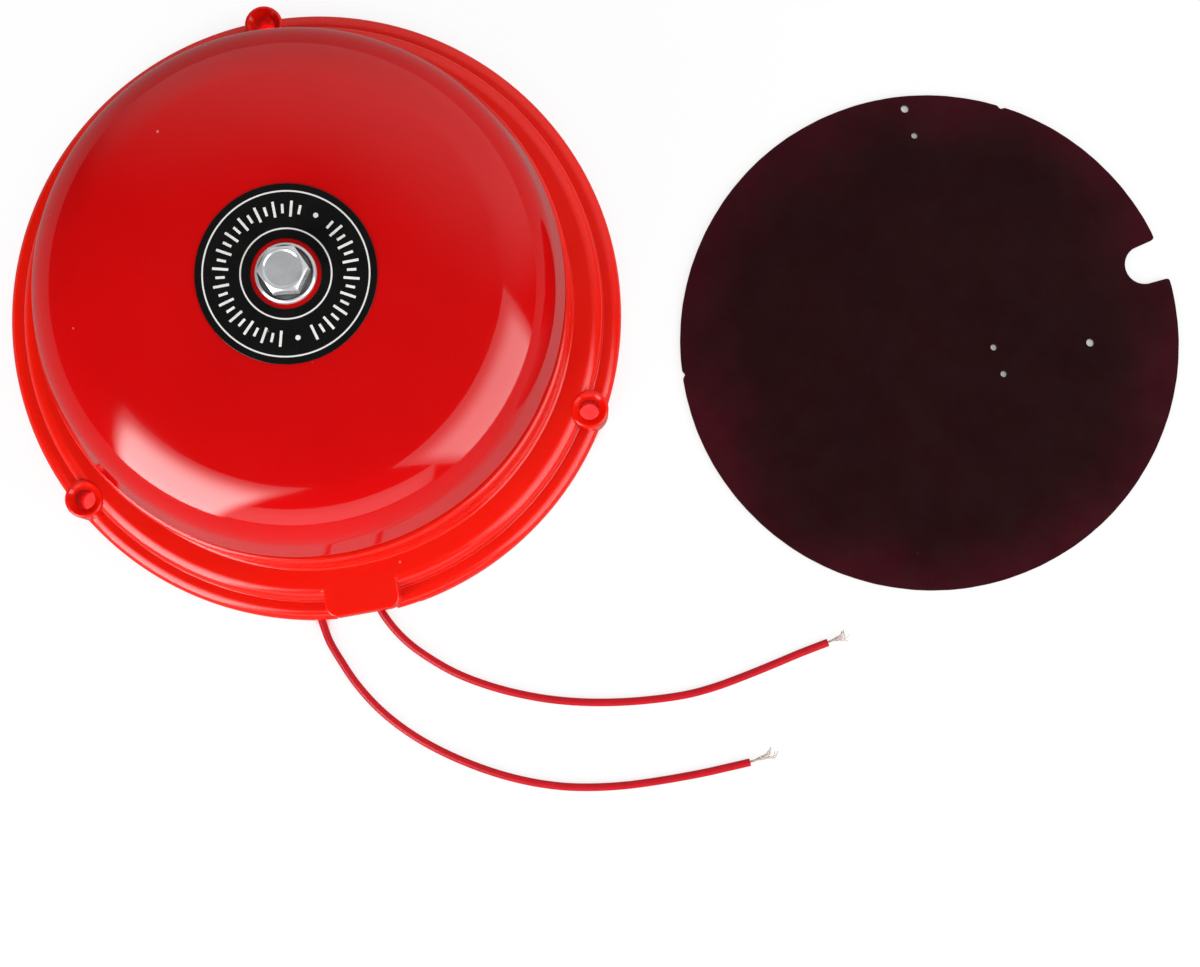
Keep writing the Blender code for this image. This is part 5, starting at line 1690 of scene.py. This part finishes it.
class BELL_OT_wind_magnet(bpy.types.Operator):
    """Makes the magnet: core, screw, bobbin, winding, tape, sleeves and the leads inside the housing"""

    bl_idname = "alarm_bell.wind_magnet"
    bl_label = "Magnet"

    # The tape's lap: part of the tape's thickness, and its place round the coil
    LAP, LAP_TURN = 0.4, math.radians(-65)
    # The sleeves: room round the lead at their necks, and the taper's length and rounding
    NECK_ROOM = 0.0002
    TAPER, TAPER_ROUND = 0.0018, 0.0015
    # The leads inside: start within the sleeve, first straight stretch and last one
    LEAD_START, LEAD_STRAIGHT, LEAD_END = 0.0005, 0.0040, 0.0023
    LEAD_SPACING = 0.0008
    LEAD_SIDES = 20

    def execute(self, context):
        scene = context.scene
        w = scene.bell_works
        start = low("magnet_core")
        axis = middle("magnet_core")
        place = near_end("magnet_core")
        reach = high("magnet_core").x - start.x
        pole = high("magnet_core").z - axis.z
        edge = w.edge_round
        tapped = w.screw_shank + CLEARANCE
        tapped_depth = high("core_screw").x - start.x + CLEARANCE
        core = turned("iron_core", [
            (0.0, reach, 0), (pole, reach, 2 * edge), (pole, reach - w.pole_thickness, edge),
            (w.core_radius, reach - w.pole_thickness, 0), (w.core_radius, 0.0, edge), (tapped, 0.0, 0),
            (tapped, tapped_depth, 0), (0.0, tapped_depth, 0),
        ])
        dress(along_x(core, place), "soft_iron", "bell", "soft_iron", "magnet_core")

        screw_axis = middle("core_screw")
        head = high("core_screw").z - screw_axis.z
        seat = low("core_screw").x + w.screw_head
        screw = slotted_screw(w.screw_shank, head, w.screw_head, high("core_screw").x - seat)
        screw.name = "core_bolt"
        along_x(screw, (seat, screw_axis.y, screw_axis.z), -1)
        dress(screw, "zinc_plating", "bell", "zinc_steel", "core_screw")

        reach = high("coil_bobbin").x - low("coil_bobbin").x
        cheek_radius = high("coil_bobbin").z - axis.z
        bore = w.core_radius + CLEARANCE
        bobbin = turned_ring("bobbin", [
            (bore, reach, edge), (cheek_radius, reach, 2 * edge), (cheek_radius, reach - w.cheek, 2 * edge),
            (w.barrel, reach - w.cheek, edge), (w.barrel, w.cheek, edge), (cheek_radius, w.cheek, 2 * edge),
            (cheek_radius, 0.0, 2 * edge), (bore, 0.0, edge),
        ])
        dress(along_x(bobbin, place), "bobbin_nylon", "bell", "bobbin_nylon", "coil_bobbin")
        winding = frame["nodes"]["coil_winding"].data.materials
        winding.clear()
        winding.append(finish_of("wound_copper"))
        self.wrap_tape(w, axis)
        self.draw_sleeves(scene.bell_leads)
        self.lead_inside(scene)
        return {"FINISHED"}

    def wrap_tape(self, w, axis):
        """The coil's tape: one turn that laps over itself along a straight edge."""
        start, end = low("coil_tape"), high("coil_tape")
        outer = (end.z - start.z) / 2
        lap = w.tape * self.LAP
        first = self.LAP_TURN
        steps = 2 * SMALL_STEPS
        skin = [polar(outer - lap * i / steps, first - 2 * math.pi * i / steps) for i in range(steps + 1)]
        bore = [polar(outer - w.tape, first + 2 * math.pi * i / steps) for i in range(steps + 1)]
        shape = bmesh.new()
        rows = [
            [shape.verts.new((x, axis.y + point.x, axis.z + point.y)) for point in row]
            for x in (start.x, end.x)
            for row in (skin, bore[::-1][:-1])
        ]
        near_skin, near_bore, far_skin, far_bore = rows
        for i in range(steps):
            j = (i + 1) % steps
            shape.faces.new((near_skin[i], near_skin[i + 1], far_skin[i + 1], far_skin[i]))
            shape.faces.new((near_bore[j], near_bore[i], far_bore[i], far_bore[j]))
            shape.faces.new((near_skin[i + 1], near_skin[i], near_bore[i], near_bore[j]))
            shape.faces.new((far_skin[i], far_skin[i + 1], far_bore[j], far_bore[i]))
        shape.faces.new((near_skin[steps], near_skin[0], far_skin[0], far_skin[steps]))
        shape.faces.new((near_skin[0], near_skin[steps], near_bore[0]))
        shape.faces.new((far_skin[steps], far_skin[0], far_bore[0]))
        dress(finish_shape("tape_wrap", shape), "coil_tape", "bell", "coil_tape", "coil_tape")

    def draw_sleeves(self, leads):
        """Shrunk sleeves, which are drawn in over the wire at both ends."""
        for letter in ("a", "b"):
            start, end = low(f"sleeve_{letter}"), high(f"sleeve_{letter}")
            radius = (end.z - start.z) / 2
            reach = end.x - start.x
            neck = leads.radius + self.NECK_ROOM
            taper, bend = self.TAPER, self.TAPER_ROUND
            sleeve = turned(f"joint_sleeve_{letter}", [
                (0.0, reach, 0), (neck, reach, 0.0001), (radius, reach - taper, bend),
                (radius, taper, bend), (neck, 0.0, 0.0001), (0.0, 0.0, 0),
            ])
            along_x(sleeve, near_end(f"sleeve_{letter}"))
            dress(sleeve, "sleeving", "bell", "sleeving", f"sleeve_{letter}")

    def lead_inside(self, scene):
        """The stretch of each lead from its sleeve to the wire exit."""
        leads = scene.bell_leads
        out = scene.bell_housing.ear_turn - math.pi
        for letter, inner, route in (("a", INNER_ROUTE_A, ROUTE_A), ("b", INNER_ROUTE_B, ROUTE_B)):
            sleeve = middle(f"sleeve_{letter}")
            first = Vector((high(f"sleeve_{letter}").x - self.LEAD_START, sleeve.y, sleeve.z))
            points = [first, first + Vector((self.LEAD_STRAIGHT, 0, 0))]
            for distance, across, z in inner:
                points.append(polar(distance, out, z) + polar(across, out + math.pi / 2))
            aim = (Vector(route[1]) - Vector(route[0])).normalized()
            last = Vector(route[0])
            points += [last - aim * self.LEAD_END, last - aim * CLEARANCE]
            wire = grow(
                points_object(f"inner_wire_{letter}", smooth_route(points, self.LEAD_SPACING)),
                "wire_along_path", "lead_insulation", radius=leads.radius, sides=self.LEAD_SIDES,
            )
            dress(wire, "lead_insulation", "bell", "lead_insulation", f"inner_lead_{letter}")


class BELL_OT_hang_striker(bpy.types.Operator):
    """Hangs the striker: armature, leaf spring, clamp, block, rivets, rod and hammer head"""

    bl_idname = "alarm_bell.hang_striker"
    bl_label = "Striker"

    ARMATURE_CORNER, CLAMP_CORNER, BLOCK_EDGE = 0.0009, 0.0006, 0.0004
    # How far a drill goes past the plates, and past the block
    DRILL_PAST, BLOCK_PAST = 0.002, 0.001
    # Slices of the leaf spring: below, across and above its free stretch; and how far its corners are cut
    SLICES = (12, 8, 6)
    SPRING_CORNER = 0.0005
    ROD_STEPS = 40
    ROD_SIDES = 32
    HEAD_STEPS = 64
    RIVET_SEED, SCREW_SEED = 5, 8
    # A rivet's head: width of its flat top and height of its side, against the head
    RIVET_FLAT, RIVET_SIDE = 0.75, 0.3
    # The hammer head: width of its face against the head, depth of its dome, and its groove's depth
    FACE, DOME, GROOVE = 0.72, 0.0012, 0.0003

    def execute(self, context):
        w = context.scene.bell_works
        rivets = ("armature_rivet_1", "armature_rivet_2")
        clamps = ("clamp_screw_1", "clamp_screw_2")
        bore, corner = w.rivet_shank + CLEARANCE, self.ARMATURE_CORNER
        made = self.plate("armature_plate", "armature", corner, rivets, bore, w.edge_round)
        dress(made, "soft_iron", "hammer", "soft_iron", "armature")
        bore, corner = w.clamp_shank + CLEARANCE, self.CLAMP_CORNER
        made = self.plate("clamp_bar", "clamp_plate", corner, clamps, bore, w.edge_round)
        dress(made, "chassis_steel", "bell", "chassis_steel", "clamp_plate")
        self.leaf_spring()
        self.block(w, rivets)

        head = (high(rivets[0]).z - low(rivets[0]).z) / 2
        seat = high(rivets[0]).x - w.rivet_head
        tip = low(rivets[0]).x - seat
        rivet = turned("rivet", [
            (0.0, w.rivet_head, 0), (head * self.RIVET_FLAT, w.rivet_head, 0.0005),
            (head, w.rivet_head * self.RIVET_SIDE, 0.0003), (head, 0.0, 0.0001),
            (w.rivet_shank, 0.0, 0), (w.rivet_shank, tip, 0), (0.0, tip, 0),
        ])
        along_x(rivet, (0, 0, 0))
        made = set_fasteners("rivets", rivet, rivets, seat, 0, self.RIVET_SEED, "turned_brass")
        dress(made, "turned_brass", "hammer", "brass", *rivets)

        head = (high(clamps[0]).z - low(clamps[0]).z) / 2
        seat = high(clamps[0]).x - w.screw_head
        screw = slotted_screw(w.clamp_shank, head, w.screw_head, seat - low(clamps[0]).x)
        along_x(screw, (0, 0, 0))
        made = set_fasteners("clamp_screws", screw, clamps, seat, 0, self.SCREW_SEED, "zinc_plating")
        dress(made, "zinc_plating", "bell", "zinc_steel", *clamps)
        self.rod(w, context.scene.bell_housing)
        self.head(w)
        return {"FINISHED"}

    def plate(self, name, node, corner, fasteners, bore, edge):
        """A flat plate across X with rounded corners and its fasteners' holes."""
        start, end = low(node), high(node)
        outline = rounded([
            (y, z, corner)
            for y, z in ((start.y, start.z), (end.y, start.z), (end.y, end.z), (start.y, end.z))
        ])
        made = slab(name, outline, start.x, end.x, lambda u, v, d: (d, u, v), edge)
        past = self.DRILL_PAST
        return carve(made, [hole_along_x(bore, middle(f), start.x - past, end.x + past) for f in fasteners])

    def leaf_spring(self):
        """The leaf spring, built in slices below, across and above its free stretch."""
        start, end = low("armature_spring"), high("armature_spring")
        bend_top, bend_low = low("clamp_plate").z, high("armature").z
        heights = []
        levels = (start.z, bend_low, bend_top, end.z)
        for under, over, count in zip(levels, levels[1:], self.SLICES):
            heights += [under + (over - under) * i / count for i in range(count)]
        heights.append(end.z)
        shape = bmesh.new()
        rows = []
        for z in heights:
            tuck = max(0.0, self.SPRING_CORNER - min(z - start.z, end.z - z))
            left, right = start.y + tuck, end.y - tuck
            section = ((start.x, left), (end.x, left), (end.x, right), (start.x, right))
            rows.append([shape.verts.new((x, y, z)) for x, y in section])
        for under, over in zip(rows, rows[1:]):
            for i in range(4):
                shape.faces.new((under[i], under[(i + 1) % 4], over[(i + 1) % 4], over[i]))
        shape.faces.new(rows[0])
        shape.faces.new(rows[-1])
        spring = finish_shape("leaf_spring", shape)
        dress(spring, "spring_steel", None, "spring_steel", "armature_spring")
        x, y = HINGE["pos_m"][:2]
        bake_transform(spring)

    def block(self, w, rivets):
        start, end = low("rod_block"), high("rod_block")
        made = round_box("brass_block", start, end, self.BLOCK_EDGE)
        rod = Vector((low("hammer_rod").x + w.rod_radius, middle("hammer_rod").y, 0.0))
        past = self.BLOCK_PAST
        tools = [hole_along_z(w.rod_radius + CLEARANCE, rod, start.z - past, end.z + past)]
        for rivet in rivets:
            bore = w.rivet_shank + CLEARANCE
            tools.append(hole_along_x(bore, middle(rivet), start.x - past, end.x + past))
        carve(made, tools)
        dress(made, "turned_brass", "hammer", "brass", "rod_block")

    def rod(self, w, housing):
        """The hammer's rod: straight, then a gentle double bend, then straight into the head."""
        start, end = low("hammer_rod"), high("hammer_rod")
        foot_x = start.x + w.rod_radius
        y = middle("hammer_rod").y
        bend_low = housing.drum_top - housing.wall
        bend_high = low("hammer_head").z
        points = [(foot_x, y, start.z)]
        for i in range(self.ROD_STEPS + 1):
            t = i / self.ROD_STEPS
            sweep = (1 - math.cos(math.pi * t)) / 2
            points.append((foot_x + w.rod_offset * sweep, y, bend_low + (bend_high - bend_low) * t))
        points.append((foot_x + w.rod_offset, y, end.z))
        made = grow(
            points_object("striker_rod", points), "wire_along_path", "zinc_plating",
            radius=w.rod_radius, sides=self.ROD_SIDES,
        )
        dress(made, "zinc_plating", "hammer", "zinc_steel", "hammer_rod")

    def head(self, w):
        """The turned hammer head: domed face, a groove and a chamfered back."""
        start, end = low("hammer_head"), high("hammer_head")
        centre = middle("hammer_head")
        radius = (end.z - start.z) / 2
        reach = end.x - start.x
        groove = radius - self.GROOVE
        made = turned("striker_head", [
            (0.0, reach, 0), (radius * self.FACE, reach, 0.0006), (radius, reach - self.DOME, 0.0010),
            (radius, 0.0022, 0.0001), (groove, 0.0020, 0.0001), (groove, 0.0015, 0.0001),
            (radius, 0.0013, 0.0001), (radius, 0.0, 0.0005), (0.0, 0.0, 0),
        ], self.HEAD_STEPS)
        along_x(made, near_end("hammer_head"))
        rod = Vector((low("hammer_rod").x + w.rod_radius + w.rod_offset, centre.y, 0.0))
        bottom, top = start.z - self.DRILL_PAST, centre.z + CLEARANCE
        carve(made, [hole_along_z(w.rod_radius + CLEARANCE, rod, bottom, top)])
        dress(made, "turned_brass", "hammer", "brass", "hammer_head")


OPERATORS = (
    BELL_OT_set_stage,
    BELL_OT_lay_leads,
    BELL_OT_mould_housing,
    BELL_OT_press_gong,
    BELL_OT_print_label,
    BELL_OT_fit_bolt,
    BELL_OT_cut_back_plate,
    BELL_OT_turn_pillar,
    BELL_OT_bend_chassis,
    BELL_OT_wind_magnet,
    BELL_OT_hang_striker,
)
SETTINGS = {
    "bell_housing": HousingSettings,
    "bell_gong": GongSettings,
    "bell_label": LabelSettings,
    "bell_bolt": BoltSettings,
    "bell_plate": PlateSettings,
    "bell_leads": LeadSettings,
    "bell_works": WorksSettings,
    "bell_stage": StageSettings,
}


class BELL_PT_panel(bpy.types.Panel):
    """Lists the bell's pieces and their settings"""

    bl_idname = "BELL_PT_panel"
    bl_label = "Alarm bell"
    bl_space_type = "VIEW_3D"
    bl_region_type = "UI"
    bl_category = "Alarm bell"

    def draw(self, context):
        for operator in OPERATORS:
            self.layout.operator(operator.bl_idname)
        for name, settings in SETTINGS.items():
            box = self.layout.box()
            box.label(text=name.replace("_", " ").capitalize())
            for field in settings.__annotations__:
                box.prop(getattr(context.scene, name), field)


def register():
    for name, settings in SETTINGS.items():
        bpy.utils.register_class(settings)
        setattr(bpy.types.Scene, name, PointerProperty(type=settings))
    for operator in OPERATORS:
        bpy.utils.register_class(operator)
    bpy.utils.register_class(BELL_PT_panel)


def unregister():
    bpy.utils.unregister_class(BELL_PT_panel)
    for operator in reversed(OPERATORS):
        bpy.utils.unregister_class(operator)
    for name, settings in SETTINGS.items():
        delattr(bpy.types.Scene, name)
        bpy.utils.unregister_class(settings)


def main():
    register()
    bpy.ops.alarm_bell.set_stage()
    bpy.ops.alarm_bell.lay_leads()
    bpy.ops.alarm_bell.mould_housing()
    bpy.ops.alarm_bell.press_gong()
    bpy.ops.alarm_bell.print_label()
    bpy.ops.alarm_bell.fit_bolt()
    bpy.ops.alarm_bell.cut_back_plate()
    bpy.ops.alarm_bell.turn_pillar()
    bpy.ops.alarm_bell.bend_chassis()
    bpy.ops.alarm_bell.wind_magnet()
    bpy.ops.alarm_bell.hang_striker()


if __name__ == "__main__":
    main()
